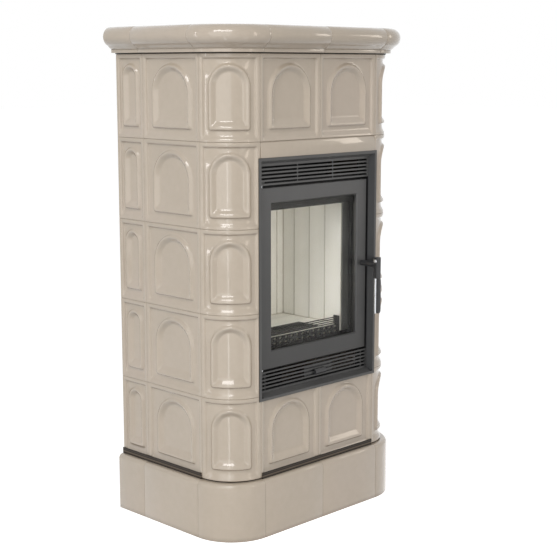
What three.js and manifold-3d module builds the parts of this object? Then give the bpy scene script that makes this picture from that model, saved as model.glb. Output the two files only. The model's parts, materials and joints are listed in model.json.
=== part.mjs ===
// Tiled stove with a glazed fireplace insert, built as separate pieces.
// Millimetres, +X to the right, +Y from the front to the back, +Z up.
// Inside the group y = 0 is the plane of the front tiles' crests and z = 0 is the floor.
import * as THREE from "three";
import { mergeVertices } from "three/addons/utils/BufferGeometryUtils.js";
import Module from "manifold-3d";

const wasm = await Module();
wasm.setup();

// ---------------------------------------------------------------- driving dimensions

const CLEARANCE = 0.3; // gap between separate pieces that seat on each other
const REACH_THROUGH = 5; // how far a cutting tool passes a face

// Tile grid: courses of square relief tiles between quarter-round corner tiles
const TILE_PITCH = 223;
const TILE_ROWS = 5;
const FRONT_TILES = 2;
const SIDE_TILES = 1;
const REAR_TILE = 111.5; // width of the narrow tile at the back edge of each side
const CORNER_RADIUS = 110;
const CORNER_STRAIGHT = 1.5; // straight stretch between the corner's arc and its joint

// Body of a tile behind its relief
const TILE_PLATE = 16;
const TILE_RIM_DEPTH = 40;
const TILE_RIM_WIDTH = 12;
const MORTAR_LAP = 1;

// Relief of a tile: how far each line lies inside the tile's edge, and below its crest
const EDGE_DEPTH = 6;
const CREST_OUTER = 4.5;
const CREST_INNER = 11;
const FIELD_EDGE = 15.5;
const FIELD_DEPTH = 7;
const BEAD_DEPTH = 0.5;
const PANEL_DEPTH = 9;
const BEAD_WIDTH = 6; // from the bead's outer foot to its crest
const BEAD_FOOT_TOP = 26; // from the tile's top edge to the arched bead's foot
const SILL_FOOT = 27; // from the tile's bottom edge to the sill's foot
const SILL_CREST = 35;
const SILL_PANEL = 53;
const FULL_ARCH = { crest: 71, panel: 52 }; // half widths of the arched niche
const CORNER_ARCH = { crest: 52, panel: 30.5 };
const REAR_ARCH = { crest: 27, panel: 10 };
const FLAT_STEPS = { sill: 1, shoulder: 2 }; // facets along a sill, and up each shoulder
const REAR_STEPS = { sill: 1, shoulder: 1 };
const CORNER_STEPS = { sill: 6, shoulder: 3 };

// Face of the lintel tile: depth behind the crests, at a share of its height
const LINTEL_FACE = [
  [2, 0],
  [0.5, 0.03],
  [0, 0.2],
  [-2, 0.48],
  [-2, 0.77],
  [1, 0.94],
  [EDGE_DEPTH, 1],
];

// Plinth of glazed base pieces
const PLINTH_HEIGHT = 158.5;
const PLINTH_REACH = 18;
const PLINTH_ROUND = 12;
const PLINTH_WALL = 25;
const PLINTH_LEDGE = 60; // how far the top ledge runs in behind the tiles' crests
const PLINTH_LEDGE_THICK = 20;

// Welded steel frame that the tiles and the insert stand on
const FRAME_SHEET = 2;
const FRAME_INSET = 3; // the sheet's edge behind the tiles' crests at the corners
const FRAME_INNER = 80;
const STRIP_HEIGHT = 16.2; // upturned edge that shows below the flat tiles
const STRIP_REACH = 3;
const STRIP_THICK = 2.4;
const POST_LEG = 27;
const POST_THICK = 4;
const POST_GAP = 2; // between a post's heel and the tiles' rims
const RAIL_HEIGHT = 20;
const RAIL_THICK = 6;
const CROSS_RAIL_DEPTH = 25;

// Cornice
const FILLET_REACH = 15;
const FILLET_HEIGHT = 9;
const COVE_HEIGHT = 11.5;
const COVE_SWEEP = 0.57; // how far up the cove its middle point lies, as a share
const TORUS_RADIUS = 26;
const TORUS_CENTRE = 15.5; // reach of the centre of the rounded edge
const TORUS_START = -58; // degrees, where the rounded edge rises out of the cove
const CORNICE_WALL = 20;
const CORNICE_FOOT = 60;
const CORNICE_SHELF = 100;
const CORNICE_SHELF_THICK = 18;
const TOP_REBATE = 15;
const TOP_PLATE = 3;
const ROUND_FACETS = 6; // facets on a quarter circle of a moulding
const SHEET_CURVE = 4; // curve divisions of the flat sheets' corners
const CORNER_FACETS = 9; // facets round a quarter-round corner piece

// Insert: front frame
const INSERT_LAP = 8; // over the tiles at its sides
const INSERT_DROP = 13.5; // over the course below it
const LINTEL_SHOWN = 41.5; // height of the lintel tile that shows above it
const INSERT_PROUD = 3; // the frame's face in front of the tiles' crests
const LIP = 8;
const BEVEL = 8;
const DOOR_RECESS = 15.5; // the door's face behind the tiles' crests
const COLLAR_BACK = 40;
const COLLAR_WALL = 2;
const EDGE_ROUND = 1.5;

// Insert: louvres
const LOUVRE_THICK = 4;
const SLOT_COUNT = 5;
const SLOT_PITCH = 10;
const SLOT_HEIGHT = 5.5;
const SLOT_MARGIN = 7; // from the bevel's foot to the first slot
const SLOT_END = 6; // from the plate's end to its slots
const RIB = 3; // upright ribs behind the slots
const UPPER_RIBS = [-69, 69];
const LOWER_RIBS = [-192, 192];

// Insert: door
const DOOR_GAP_SIDE = 7;
const DOOR_GAP_BELOW = 5.7;
const DOOR_GAP_ABOVE = 6.8;
const DOOR_THICK = 16;
const DOOR_STILE = 40;
const DOOR_RAIL_BELOW = 48;
const DOOR_RAIL_ABOVE = 40.5;
const GLASS_CHAMFER = 3;
const GLASS_FLANGE = 6.5; // depth of the flange that the pane bears on
const GLASS_LAP = 6;
const PANE_THICK = 4;
const SEAL_WIDTH = 8;
const SEAL_LAP = 12; // outside the glass opening, at the sides and the top
const SEAL_BELOW = 6; // under the firebox's mouth

// Insert: hinges, handle and air control
const HINGE_INSET = 9; // from the door's edge
const HINGE_DEPTH = 9.5; // from the door's face
const PIN_RADIUS = 4;
const PIN_IN_DOOR = 20;
const PIN_COLLAR_RADIUS = 5;
const PIN_HEAD = 3;
const LUG_HEIGHT = 10;
const LUG_GAP = 8; // between the door and each lug
const LUG_HALF_WIDTH = 9;
const LUG_BACK = 36;
const HANDLE_INSET = 17; // from the door's edge
const HANDLE_HEIGHT = 246; // above the door's bottom
const SHAFT_RADIUS = 8;
const SPINDLE_RADIUS = 5;
const SHAFT_SOCKET = 6;
const HUB_WIDTH = 18;
const HUB_REACH = 50; // in front of the tiles' crests
const HUB_THICK = 16;
const HANDLE_ROUND = 4;
const HUB_ABOVE = 21;
const HUB_BELOW = 38;
const GRIP_WIDTH = 17;
const GRIP_THICK = 12;
const GRIP_LENGTH = 100;
const GRIP_SET_BACK = 1;
const LATCH_GAP = 1; // between the tongue's tip and the keeper
const TONGUE_HALF = 4;
const TONGUE_THICK = 5;
const KEEPER_REACH = 5;
const KEEPER_HALF = 10;
const KEEPER_DEPTH = 8;
const KEEPER_SET_BACK = 1; // from the plane of the door's back
const SLIDER_X = 16.5;
const SLIDER_SLOT = 2; // the slot, counted from below, that the slider's neck passes
const SLIDER_NECK = 24;
const SLIDER_KNOB = 42;
const SLIDER_KNOB_HEIGHT = 15;
const SLIDER_KNOB_DEPTH = 8;
const SLIDER_PLATE = 2;
const SLIDER_PLATE_HALF = 55;

// Insert: firebox
const SHELL_WALL = 4;
const SHELL_DEPTH = 304.7;
const SHELL_BELOW_MOUTH = 17;
const SMOKE_SPACE = 68; // above the fire space, up to the shell's shoulder
const DOME_HEIGHT = 94; // of the raised rear part, above the shoulder
const DOME_SET_BACK = 80;
const MOUTH_LAP = 4; // the mouth outside the glass opening
const MOUTH_ABOVE = 31; // up to the seal's inner edge above the mouth
const MOUTH_BELOW = 13; // above the door's bottom
const AIR_WINDOW_END = 15;
const LINING_LAP = 12; // the lining's face inside the mouth
const LINING_THICK = 30;
const LINING_SET_BACK = 25.7; // behind the shell's front plate
const BACK_LINING_THICK = 42.7;
const BACK_LINING_DROP = 22;
const BOARD_WIDTH = 61; // boards of the side linings
const BOARD_JOINTS = 3;
const BACK_BOARD_WIDTH = 53.5;
const BACK_BOARD_JOINTS = 6;
const JOINT_WIDTH = 4;
const JOINT_DEPTH = 3;
const ASH_SPACE = 50; // from the shell's bottom to the hearth
const HEARTH_THICK = 20;
const LEDGE_WIDTH = 14;
const LEDGE_THICK = 6;
const GRATE_WIDTH = 200;
const GRATE_DEPTH = 85;
const GRATE_SET_BACK = 20;
const GRATE_THICK = 12;
const GRATE_SEAT = 8;
const GRATE_SLOTS = 4;
const GRATE_SLOT = 9;
const BAFFLE_SET_BACK = 50;
const BAFFLE_THICK = 18;
const FENCE_GAP = 10; // between the fence's ends and the side linings
const FENCE_FORWARD = 8; // in front of the hearth
const FENCE_THICK = 3;
const FENCE_BELOW = 31; // below the hearth's top
const FENCE_ABOVE = 26;
const FENCE_WING = 18;
const FENCE_SLOTS = 4;
const FENCE_SLOT = 3;
const FENCE_SLOT_PITCH = 5.5;
const FENCE_SLOT_END = 14;
const FENCE_HOLE_ROWS = 2;
const FENCE_HOLES = 13;
const FENCE_HOLE_PITCH = 22;
const FENCE_ROW_PITCH = 12.5;
const FENCE_HOLE = { wide: 13, high: 7 };
const PAN_GAP = 40; // between the pan and the shell's sides
const PAN_LENGTH = 255;
const PAN_HEIGHT = 38;
const PAN_WALL = 2;
const PAN_HANDLE_HALF = 40;
const PAN_HANDLE_REACH = 14;
const PAN_HANDLE_DROP = 9.5; // below the pan's rim

// Flue collar and back panel
const FLUE_DROP = 2; // the flue's bore below the inside of the dome
const FLUE_RADIUS = 75;
const FLUE_WALL = 3;
const FLUE_FLANGE = 12;
const FLUE_FLANGE_THICK = 3;
const FLUE_PAST_BACK = 30;
const FLUE_FACETS = 24;
const PANEL_SHEET = 2;
const PANEL_SET_IN = 2;
const PANEL_FLUE_GAP = 3;

// ---------------------------------------------------------------- places worked out from them

const CORNER_LEG = CORNER_RADIUS + CORNER_STRAIGHT;
const FLAT_HALF = (FRONT_TILES * TILE_PITCH) / 2; // centre to the first joint on the front
const BODY_HALF = FLAT_HALF + CORNER_LEG;
const SIDE_FLAT_END = CORNER_LEG + SIDE_TILES * TILE_PITCH;
const BODY_BACK = SIDE_FLAT_END + REAR_TILE;
const ARC_X = BODY_HALF - CORNER_RADIUS; // centre of the right corner's arc
const ARC_Y = CORNER_RADIUS;
const BASE_SHEET_Z = PLINTH_HEIGHT + CLEARANCE;
const TILE_BASE = BASE_SHEET_Z + FRAME_SHEET + CLEARANCE;
const TILE_HEIGHT = TILE_PITCH - CLEARANCE;
const TILE_TOP = TILE_BASE + (TILE_ROWS - 1) * TILE_PITCH + TILE_HEIGHT;
const TOP_SHEET_Z = TILE_TOP + CLEARANCE;
const CORNICE_Z = TOP_SHEET_Z + FRAME_SHEET + CLEARANCE;
const COVE_TOP = CORNICE_Z + FILLET_HEIGHT + COVE_HEIGHT;
const TORUS_Z = COVE_TOP - TORUS_RADIUS * Math.sin(THREE.MathUtils.degToRad(TORUS_START));
const COVE_REACH = TORUS_CENTRE + TORUS_RADIUS * Math.cos(THREE.MathUtils.degToRad(TORUS_START));
const CORNICE_TOP = TORUS_Z + TORUS_RADIUS;
const TOP_PLATE_Z = CORNICE_TOP - TOP_PLATE - CLEARANCE;
const LINTEL_TOP = TILE_BASE + (TILE_ROWS - 1) * TILE_PITCH - CLEARANCE;
const INSERT_HALF = FLAT_HALF + INSERT_LAP;
const INSERT_BOTTOM = TILE_BASE + TILE_HEIGHT - INSERT_DROP;
const INSERT_TOP = LINTEL_TOP - LINTEL_SHOWN;
const MOUTH_INSET = LIP + BEVEL; // from the frame's outer edge to the bevel's foot
const COLLAR_INSET = MOUTH_INSET - COLLAR_WALL;
const COLLAR_HALF = INSERT_HALF - MOUTH_INSET;
const BEVEL_SLOPE = (DOOR_RECESS + INSERT_PROUD) / BEVEL;
const BEVEL_WALL = COLLAR_WALL * Math.hypot(1, 1 / BEVEL_SLOPE); // measured across the opening
const LIP_BACK = LIP - BEVEL_WALL + (INSERT_PROUD - CLEARANCE) / BEVEL_SLOPE;
const LINTEL_BOTTOM = INSERT_TOP - LIP_BACK + CLEARANCE;
const CUT_TOP = INSERT_BOTTOM + LIP_BACK - CLEARANCE; // where the tiles under the insert are cut
const MOUTH_FOOT = INSERT_BOTTOM + MOUTH_INSET; // the frame's inner edges
const MOUTH_HEAD = INSERT_TOP - MOUTH_INSET;
const SLOTS_HEIGHT = (SLOT_COUNT - 1) * SLOT_PITCH + SLOT_HEIGHT;
const SLAT_HEIGHT = SLOT_PITCH - SLOT_HEIGHT;
const LOWER_SLOT = MOUTH_FOOT + SLOT_MARGIN;
const UPPER_SLOT = MOUTH_HEAD - SLOT_MARGIN - SLOTS_HEIGHT;
const LOWER_LOUVRE_TOP = LOWER_SLOT + SLOTS_HEIGHT + SLAT_HEIGHT;
const UPPER_LOUVRE_BOTTOM = UPPER_SLOT - SLAT_HEIGHT;
const DOOR_HALF = COLLAR_HALF - DOOR_GAP_SIDE;
const DOOR_BOTTOM = LOWER_LOUVRE_TOP + DOOR_GAP_BELOW;
const DOOR_TOP = UPPER_LOUVRE_BOTTOM - DOOR_GAP_ABOVE;
const DOOR_BACK = DOOR_RECESS + DOOR_THICK;
const GLASS_HALF = DOOR_HALF - DOOR_STILE;
const GLASS_BOTTOM = DOOR_BOTTOM + DOOR_RAIL_BELOW;
const GLASS_TOP = DOOR_TOP - DOOR_RAIL_ABOVE;
const SEAL_HALF = GLASS_HALF + SEAL_LAP;
const SEAL_TOP = GLASS_TOP + SEAL_LAP;
const HINGE_X = HINGE_INSET - DOOR_HALF;
const HINGE_Y = DOOR_RECESS + HINGE_DEPTH;
const HANDLE_X = DOOR_HALF - HANDLE_INSET;
const HANDLE_Z = DOOR_BOTTOM + HANDLE_HEIGHT;
const HUB_FRONT = -HUB_REACH;
const HUB_BACK = HUB_FRONT + HUB_THICK;
const TONGUE_TIP = COLLAR_HALF - KEEPER_REACH - LATCH_GAP;
const MOUTH_HALF = GLASS_HALF + MOUTH_LAP;
const MOUTH_BOTTOM = DOOR_BOTTOM + MOUTH_BELOW;
const MOUTH_TOP = SEAL_TOP - SEAL_WIDTH / 2 - MOUTH_ABOVE;
const SEAL_BOTTOM = MOUTH_BOTTOM - SEAL_BELOW;
const LINING_FACE = MOUTH_HALF - LINING_LAP; // half width of the fire space
const SHELL_FRONT = COLLAR_BACK + CLEARANCE;
const SHELL_BACK = SHELL_FRONT + SHELL_DEPTH;
const SHELL_HALF = LINING_FACE + LINING_THICK + CLEARANCE + SHELL_WALL;
const SHELL_BOTTOM = MOUTH_BOTTOM - SHELL_BELOW_MOUTH;
const SHELL_SHOULDER = MOUTH_TOP + SMOKE_SPACE;
const SHELL_TOP = SHELL_SHOULDER + DOME_HEIGHT;
const LINING_FRONT = SHELL_FRONT + SHELL_WALL + LINING_SET_BACK;
const LINING_BACK = SHELL_BACK - SHELL_WALL - CLEARANCE;
const LINING_OUTER = LINING_FACE + LINING_THICK;
const BACK_LINING_FACE = LINING_BACK - BACK_LINING_THICK;
const HEARTH_BOTTOM = SHELL_BOTTOM + ASH_SPACE;
const HEARTH_TOP = HEARTH_BOTTOM + HEARTH_THICK;
const FLUE_Z = SHELL_TOP - SHELL_WALL - FLUE_DROP - (FLUE_RADIUS - FLUE_WALL);
const POST_HEEL = (CORNER_RADIUS - TILE_RIM_DEPTH - POST_GAP) / Math.SQRT2;
const POST_X = ARC_X + POST_HEEL;
const POST_Y = ARC_Y - POST_HEEL;
const PANEL_Y = BODY_BACK - PANEL_SET_IN - PANEL_SHEET;
const PANEL_HALF = BODY_HALF - TILE_RIM_DEPTH - CLEARANCE;
const FRONT_REACH = Math.max(TORUS_RADIUS + TORUS_CENTRE, PLINTH_REACH, HUB_REACH);
const REAR_REACH = BODY_BACK + FLUE_PAST_BACK;

// ---------------------------------------------------------------- materials

const finish = (color, roughness, metalness, extra = {}) =>
  new THREE.MeshStandardMaterial({ color, roughness, metalness, ...extra });
const GLAZE = () => finish(0xc3b09a, 0.22, 0);
const PAINTED_STEEL = () => finish(0x4b4a49, 0.6, 0.2);
const SHEET_STEEL = () => finish(0x3a3a3b, 0.55, 0.5);
const CAST_IRON = () => finish(0x2c2c2d, 0.7, 0.5);
const FIRECLAY = () => finish(0xcfcab6, 0.9, 0);
const BRIGHT_STEEL = () => finish(0xb9babb, 0.3, 0.9);
const DARK_STEEL = () => finish(0x3c3c3e, 0.5, 0.6);
const ROPE = () => finish(0x8c8a84, 0.95, 0);
const PANE = () => finish(0xd8dcd8, 0.05, 0, { transparent: true, opacity: 0.3 });

// ---------------------------------------------------------------- solids

// A closed geometry as a solid that can be cut and joined
function solid(geometry) {
  const bare = geometry.index ? geometry.toNonIndexed() : geometry.clone();
  bare.deleteAttribute("normal");
  bare.deleteAttribute("uv");
  const merged = mergeVertices(bare, 1e-4);
  return new wasm.Manifold(
    new wasm.Mesh({
      numProp: 3,
      vertProperties: new Float32Array(merged.attributes.position.array),
      triVerts: new Uint32Array(merged.index.array),
    }),
  );
}

const join = (...parts) => parts.reduce((whole, part) => whole.add(part));
const cut = (body, ...tools) => tools.reduce((left, tool) => left.subtract(tool), body);

// Box between two corners
function box(x0, x1, y0, y1, z0, z1) {
  const geometry = new THREE.BoxGeometry(x1 - x0, y1 - y0, z1 - z0);
  geometry.translate((x0 + x1) / 2, (y0 + y1) / 2, (z0 + z1) / 2);
  return solid(geometry);
}

// Box on the left (side = -1) or the right (side = 1), between two distances from the middle
const sideBox = (side, a, b, y0, y1, z0, z1) =>
  box(Math.min(side * a, side * b), Math.max(side * a, side * b), y0, y1, z0, z1);

// Round bar along Z, from z0 to z1
function barZ(x, y, z0, z1, radius, facets = 16) {
  const geometry = new THREE.CylinderGeometry(radius, radius, z1 - z0, facets);
  geometry.rotateX(Math.PI / 2);
  geometry.translate(x, y, (z0 + z1) / 2);
  return solid(geometry);
}

// Round bar along Y, from y0 to y1
function barY(x, z, y0, y1, radius, facets = 16) {
  const geometry = new THREE.CylinderGeometry(radius, radius, y1 - y0, facets);
  geometry.translate(x, (y0 + y1) / 2, z);
  return solid(geometry);
}

// An outline in X and Y, extruded from z0 to z1
function extrudeZ(shape, z0, z1, curveSegments = SHEET_CURVE) {
  const geometry = new THREE.ExtrudeGeometry(shape, {
    depth: z1 - z0,
    bevelEnabled: false,
    curveSegments,
  });
  geometry.translate(0, 0, z0);
  return solid(geometry);
}

// An outline in Y and Z, extruded from x0 to x1
function extrudeX(points, x0, x1) {
  const shape = new THREE.Shape(points.map(([y, z]) => new THREE.Vector2(y, z)));
  const geometry = new THREE.ExtrudeGeometry(shape, { depth: x1 - x0, bevelEnabled: false });
  // The shape's x and y become Y and Z, and its depth becomes X.
  geometry.applyMatrix4(
    new THREE.Matrix4().makeBasis(
      new THREE.Vector3(0, 1, 0),
      new THREE.Vector3(0, 0, 1),
      new THREE.Vector3(1, 0, 0),
    ),
  );
  geometry.translate(x0, 0, 0);
  return solid(geometry);
}

// Bands between rows of points that all have the same count
function bands(rows, closed) {
  const triangles = [];
  const count = rows[0].length;
  const last = closed ? rows.length : rows.length - 1;
  for (let r = 0; r < last; r += 1) {
    const a = rows[r];
    const b = rows[(r + 1) % rows.length];
    for (let i = 0; i < count; i += 1) {
      const j = (i + 1) % count;
      triangles.push(a[i], a[j], b[j], a[i], b[j], b[i]);
    }
  }
  return triangles;
}

const solidOfTriangles = (triangles) =>
  solid(new THREE.BufferGeometry().setFromPoints(triangles));

// A ring made of rectangular loops { half, bottom, top, y }, given round its cross-section
function rectangleRing(loops) {
  const rows = loops.map(({ half, bottom, top, y }) => [
    new THREE.Vector3(-half, y, bottom),
    new THREE.Vector3(half, y, bottom),
    new THREE.Vector3(half, y, top),
    new THREE.Vector3(-half, y, top),
  ]);
  return solidOfTriangles(bands(rows, true));
}

const inset = ({ half, bottom, top }, by, y) => ({
  half: half - by,
  bottom: bottom + by,
  top: top - by,
  y,
});

// ---------------------------------------------------------------- relief tiles

// One loop of a tile's relief, counter-clockwise as seen from outside, as points [u, z, depth].
// arched: the head is a half circle on the springing line; otherwise the loop is a rectangle.
function reliefLoop({ half, bottom, top, spring, depth, arched }, steps) {
  const points = [];
  for (let i = 0; i <= steps.sill; i += 1) {
    points.push([-half + (2 * half * i) / steps.sill, bottom, depth]);
  }
  const headSteps = 4 * steps.shoulder;
  for (let i = 0; i <= headSteps; i += 1) {
    if (arched) {
      const angle = (Math.PI * i) / headSteps;
      points.push([half * Math.cos(angle), spring + half * Math.sin(angle), depth]);
    } else {
      const up = Math.min(i, headSteps - i, steps.shoulder) / steps.shoulder;
      const across = THREE.MathUtils.clamp(i / steps.shoulder - 1, 0, 2);
      points.push([half - half * across, spring + (top - spring) * up, depth]);
    }
  }
  return points;
}

// The loops of a tile, from the back of its rim round its edge to the niche's panel
function reliefLoops(width, height, arch, steps) {
  const foot = arch.crest + BEAD_WIDTH;
  const spring = height - BEAD_FOOT_TOP - foot;
  const rectangle = (by, depth) => ({
    half: width / 2 - by,
    bottom: by,
    top: height - by,
    spring,
    depth,
  });
  const niche = (half, bottom, depth) => ({ half, bottom, spring, depth, arched: true });
  return [
    rectangle(TILE_RIM_WIDTH, TILE_PLATE),
    rectangle(TILE_RIM_WIDTH, TILE_RIM_DEPTH),
    rectangle(0, TILE_RIM_DEPTH),
    rectangle(0, EDGE_DEPTH),
    rectangle(CREST_OUTER, 0),
    rectangle(CREST_INNER, 0),
    rectangle(FIELD_EDGE, FIELD_DEPTH),
    niche(foot, SILL_FOOT, FIELD_DEPTH),
    niche(arch.crest, SILL_CREST, BEAD_DEPTH),
    niche(arch.panel, SILL_PANEL, PANEL_DEPTH),
  ].map((loop) => reliefLoop(loop, steps));
}

// Closes a loop with strips that run from its sill to its head, so that they follow a curved tile
function capLoop(row, sillSteps, facesOut) {
  const triangles = [];
  const head = row.slice(sillSteps + 1).reverse();
  let s = 0;
  let h = 0;
  while (s < sillSteps || h < head.length - 1) {
    const lastSill = s === sillSteps - 1;
    const headLeft = h < head.length - 1;
    const headIsNext = headLeft && (lastSill || head[h + 1].u <= row[s + 1].u);
    if (s > 0 && headIsNext) {
      triangles.push(row[s].at, head[h + 1].at, head[h].at);
      h += 1;
    } else {
      triangles.push(row[s].at, row[s + 1].at, head[h].at);
      s += 1;
    }
  }
  return facesOut ? triangles : triangles.reverse();
}

// A relief tile: place(u, depth) gives the plan position of a point on it
function tile(width, height, arch, steps, place, bottomZ) {
  const rows = reliefLoops(width, height, arch, steps).map((loop) =>
    loop.map(([u, z, depth]) => {
      const [x, y] = place(u, depth);
      return { u, at: new THREE.Vector3(x, y, bottomZ + z) };
    }),
  );
  const points = rows.map((row) => row.map((point) => point.at));
  return solidOfTriangles([
    ...bands(points, false),
    ...capLoop(rows.at(-1), steps.sill, true),
    ...capLoop(rows[0], steps.sill, false),
  ]);
}

// Places on the front, on the sides (side = -1 left, 1 right) and round the corners
const onFront = (centreX) => (u, depth) => [centreX + u, depth];
const onSide = (side, centreY) => (u, depth) => [side * (BODY_HALF - depth), centreY + side * u];
const onCorner = (side) => (u, depth) => {
  const quarter = (Math.PI / 4) * CORNER_RADIUS;
  const along = THREE.MathUtils.clamp(u, -quarter, quarter);
  const angle = along / CORNER_RADIUS - Math.PI / 4 + (side < 0 ? 0 : Math.PI / 2);
  const past = u - along;
  const radius = CORNER_RADIUS - depth;
  return [
    side * ARC_X + radius * Math.sin(angle) + past * Math.cos(angle),
    ARC_Y - radius * Math.cos(angle) + past * Math.sin(angle),
  ];
};

const rowZ = (row) => TILE_BASE + row * TILE_PITCH;
const tileWidth = TILE_PITCH - CLEARANCE;
const cornerWidth = (Math.PI / 2) * CORNER_RADIUS + 2 * CORNER_STRAIGHT - CLEARANCE;

const cornerTile = (side, row) =>
  tile(cornerWidth, TILE_HEIGHT, CORNER_ARCH, CORNER_STEPS, onCorner(side), rowZ(row));

const sideTile = (side, row) =>
  tile(
    tileWidth,
    TILE_HEIGHT,
    FULL_ARCH,
    FLAT_STEPS,
    onSide(side, CORNER_LEG + TILE_PITCH / 2),
    rowZ(row),
  );

// The narrow tiles of one side, bedded on each other with mortar
function rearTiles(side) {
  const centre = SIDE_FLAT_END + REAR_TILE / 2;
  const place = onSide(side, centre);
  const width = REAR_TILE - CLEARANCE;
  const pieces = [];
  for (let row = 0; row < TILE_ROWS; row += 1) {
    pieces.push(tile(width, TILE_HEIGHT, REAR_ARCH, REAR_STEPS, place, rowZ(row)));
    if (row > 0) {
      pieces.push(
        sideBox(
          side,
          BODY_HALF - TILE_RIM_DEPTH + MORTAR_LAP,
          BODY_HALF - EDGE_DEPTH - MORTAR_LAP,
          centre - width / 2 + MORTAR_LAP,
          centre + width / 2 - MORTAR_LAP,
          rowZ(row) - CLEARANCE - MORTAR_LAP,
          rowZ(row) + MORTAR_LAP,
        ),
      );
    }
  }
  return join(...pieces);
}

// A course of front tiles, bedded side by side with mortar
function frontTiles(row) {
  const pieces = [];
  for (let i = 0; i < FRONT_TILES; i += 1) {
    const centre = -FLAT_HALF + (i + 0.5) * TILE_PITCH;
    pieces.push(tile(tileWidth, TILE_HEIGHT, FULL_ARCH, FLAT_STEPS, onFront(centre), rowZ(row)));
    if (i > 0) {
      const joint = centre - TILE_PITCH / 2;
      pieces.push(
        box(
          joint - CLEARANCE / 2 - MORTAR_LAP,
          joint + CLEARANCE / 2 + MORTAR_LAP,
          EDGE_DEPTH + MORTAR_LAP,
          TILE_RIM_DEPTH - MORTAR_LAP,
          rowZ(row) + MORTAR_LAP,
          rowZ(row) + TILE_HEIGHT - MORTAR_LAP,
        ),
      );
    }
  }
  return join(...pieces);
}

// The course under the insert, cut level behind the lower edge of its frame
const frontTilesBelow = () =>
  cut(
    frontTiles(0),
    box(-BODY_HALF, BODY_HALF, -REACH_THROUGH, TILE_RIM_DEPTH + REACH_THROUGH, CUT_TOP, TILE_TOP),
  );

// Smooth curved strip over the insert's frame
function lintelTile() {
  const height = LINTEL_TOP - LINTEL_BOTTOM;
  const face = LINTEL_FACE.map(([y, share]) => [y, LINTEL_BOTTOM + share * height]);
  const back = [
    [TILE_RIM_DEPTH, LINTEL_TOP],
    [TILE_RIM_DEPTH, LINTEL_TOP - TILE_RIM_WIDTH],
    [TILE_PLATE, LINTEL_TOP - TILE_RIM_WIDTH],
    [TILE_PLATE, LINTEL_BOTTOM + TILE_RIM_WIDTH],
    [TILE_RIM_DEPTH, LINTEL_BOTTOM + TILE_RIM_WIDTH],
    [TILE_RIM_DEPTH, LINTEL_BOTTOM],
  ];
  const half = FLAT_HALF - CLEARANCE / 2;
  return extrudeX([...face, ...back].reverse(), -half, half);
}

// ---------------------------------------------------------------- plinth and cornice

// Points of an arc in a profile, from one angle to another, in degrees
function arc(centreReach, centreZ, radius, from, to, facets) {
  const points = [];
  for (let i = 0; i <= facets; i += 1) {
    const angle = THREE.MathUtils.degToRad(from + ((to - from) * i) / facets);
    points.push([centreReach + radius * Math.cos(angle), centreZ + radius * Math.sin(angle)]);
  }
  return points;
}

// Profiles are closed outlines [reach in front of the tiles' crests, z], counter-clockwise.
const plinthProfile = [
  [PLINTH_REACH - PLINTH_WALL, 0],
  [PLINTH_REACH, 0],
  ...arc(
    PLINTH_REACH - PLINTH_ROUND,
    PLINTH_HEIGHT - PLINTH_ROUND,
    PLINTH_ROUND,
    0,
    90,
    ROUND_FACETS / 2,
  ),
  [-PLINTH_LEDGE, PLINTH_HEIGHT],
  [-PLINTH_LEDGE, PLINTH_HEIGHT - PLINTH_LEDGE_THICK],
  [PLINTH_REACH - PLINTH_WALL, PLINTH_HEIGHT - PLINTH_LEDGE_THICK],
];

const rebateZ = TOP_PLATE_Z - CLEARANCE;
const corniceProfile = [
  [-CORNICE_FOOT, CORNICE_Z],
  [FILLET_REACH, CORNICE_Z],
  [FILLET_REACH, CORNICE_Z + FILLET_HEIGHT],
  [
    THREE.MathUtils.lerp(FILLET_REACH, COVE_REACH, 1 - COVE_SWEEP),
    CORNICE_Z + FILLET_HEIGHT + COVE_HEIGHT * COVE_SWEEP,
  ],
  ...arc(TORUS_CENTRE, TORUS_Z, TORUS_RADIUS, TORUS_START, 90, 1.5 * ROUND_FACETS),
  [TOP_REBATE - CORNICE_SHELF, CORNICE_TOP],
  [TOP_REBATE - CORNICE_SHELF, rebateZ],
  [-CORNICE_SHELF, rebateZ],
  [-CORNICE_SHELF, CORNICE_TOP - CORNICE_SHELF_THICK],
  [-CORNICE_WALL, CORNICE_TOP - CORNICE_SHELF_THICK],
  [-CORNICE_WALL, CORNICE_Z + FILLET_HEIGHT],
  [-CORNICE_FOOT, CORNICE_Z + FILLET_HEIGHT],
];

// Straight run along the front, between the two corners
function frontRun(profile) {
  const half = ARC_X - CLEARANCE;
  return extrudeX(profile.map(([reach, z]) => [-reach, z]).reverse(), -half, half);
}

// Straight run along a side, from the corner to the back
function sideRun(profile, side) {
  const turned = profile.map(([reach, z]) => new THREE.Vector2(side * (BODY_HALF + reach), z));
  const geometry = new THREE.ExtrudeGeometry(new THREE.Shape(turned), {
    depth: BODY_BACK - ARC_Y - CLEARANCE,
    bevelEnabled: false,
  });
  geometry.rotateX(Math.PI / 2); // the outline stands up, and its depth runs towards the front
  geometry.translate(0, BODY_BACK, 0);
  return solid(geometry);
}

// Quarter ring round a corner of the body
function cornerRun(profile, side) {
  const outline = profile.map(([reach, z]) => new THREE.Vector2(CORNER_RADIUS + reach, z));
  const geometry = new THREE.LatheGeometry([...outline, outline[0]], 4 * CORNER_FACETS);
  geometry.rotateX(Math.PI / 2);
  const ring = solid(geometry).translate([side * ARC_X, ARC_Y, 0]);
  const size = 2 * CORNER_RADIUS;
  const quadrant = sideBox(
    side,
    ARC_X,
    ARC_X + size,
    ARC_Y - size,
    ARC_Y,
    -REACH_THROUGH,
    CORNICE_TOP + REACH_THROUGH,
  );
  return ring.intersect(quadrant);
}

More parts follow.
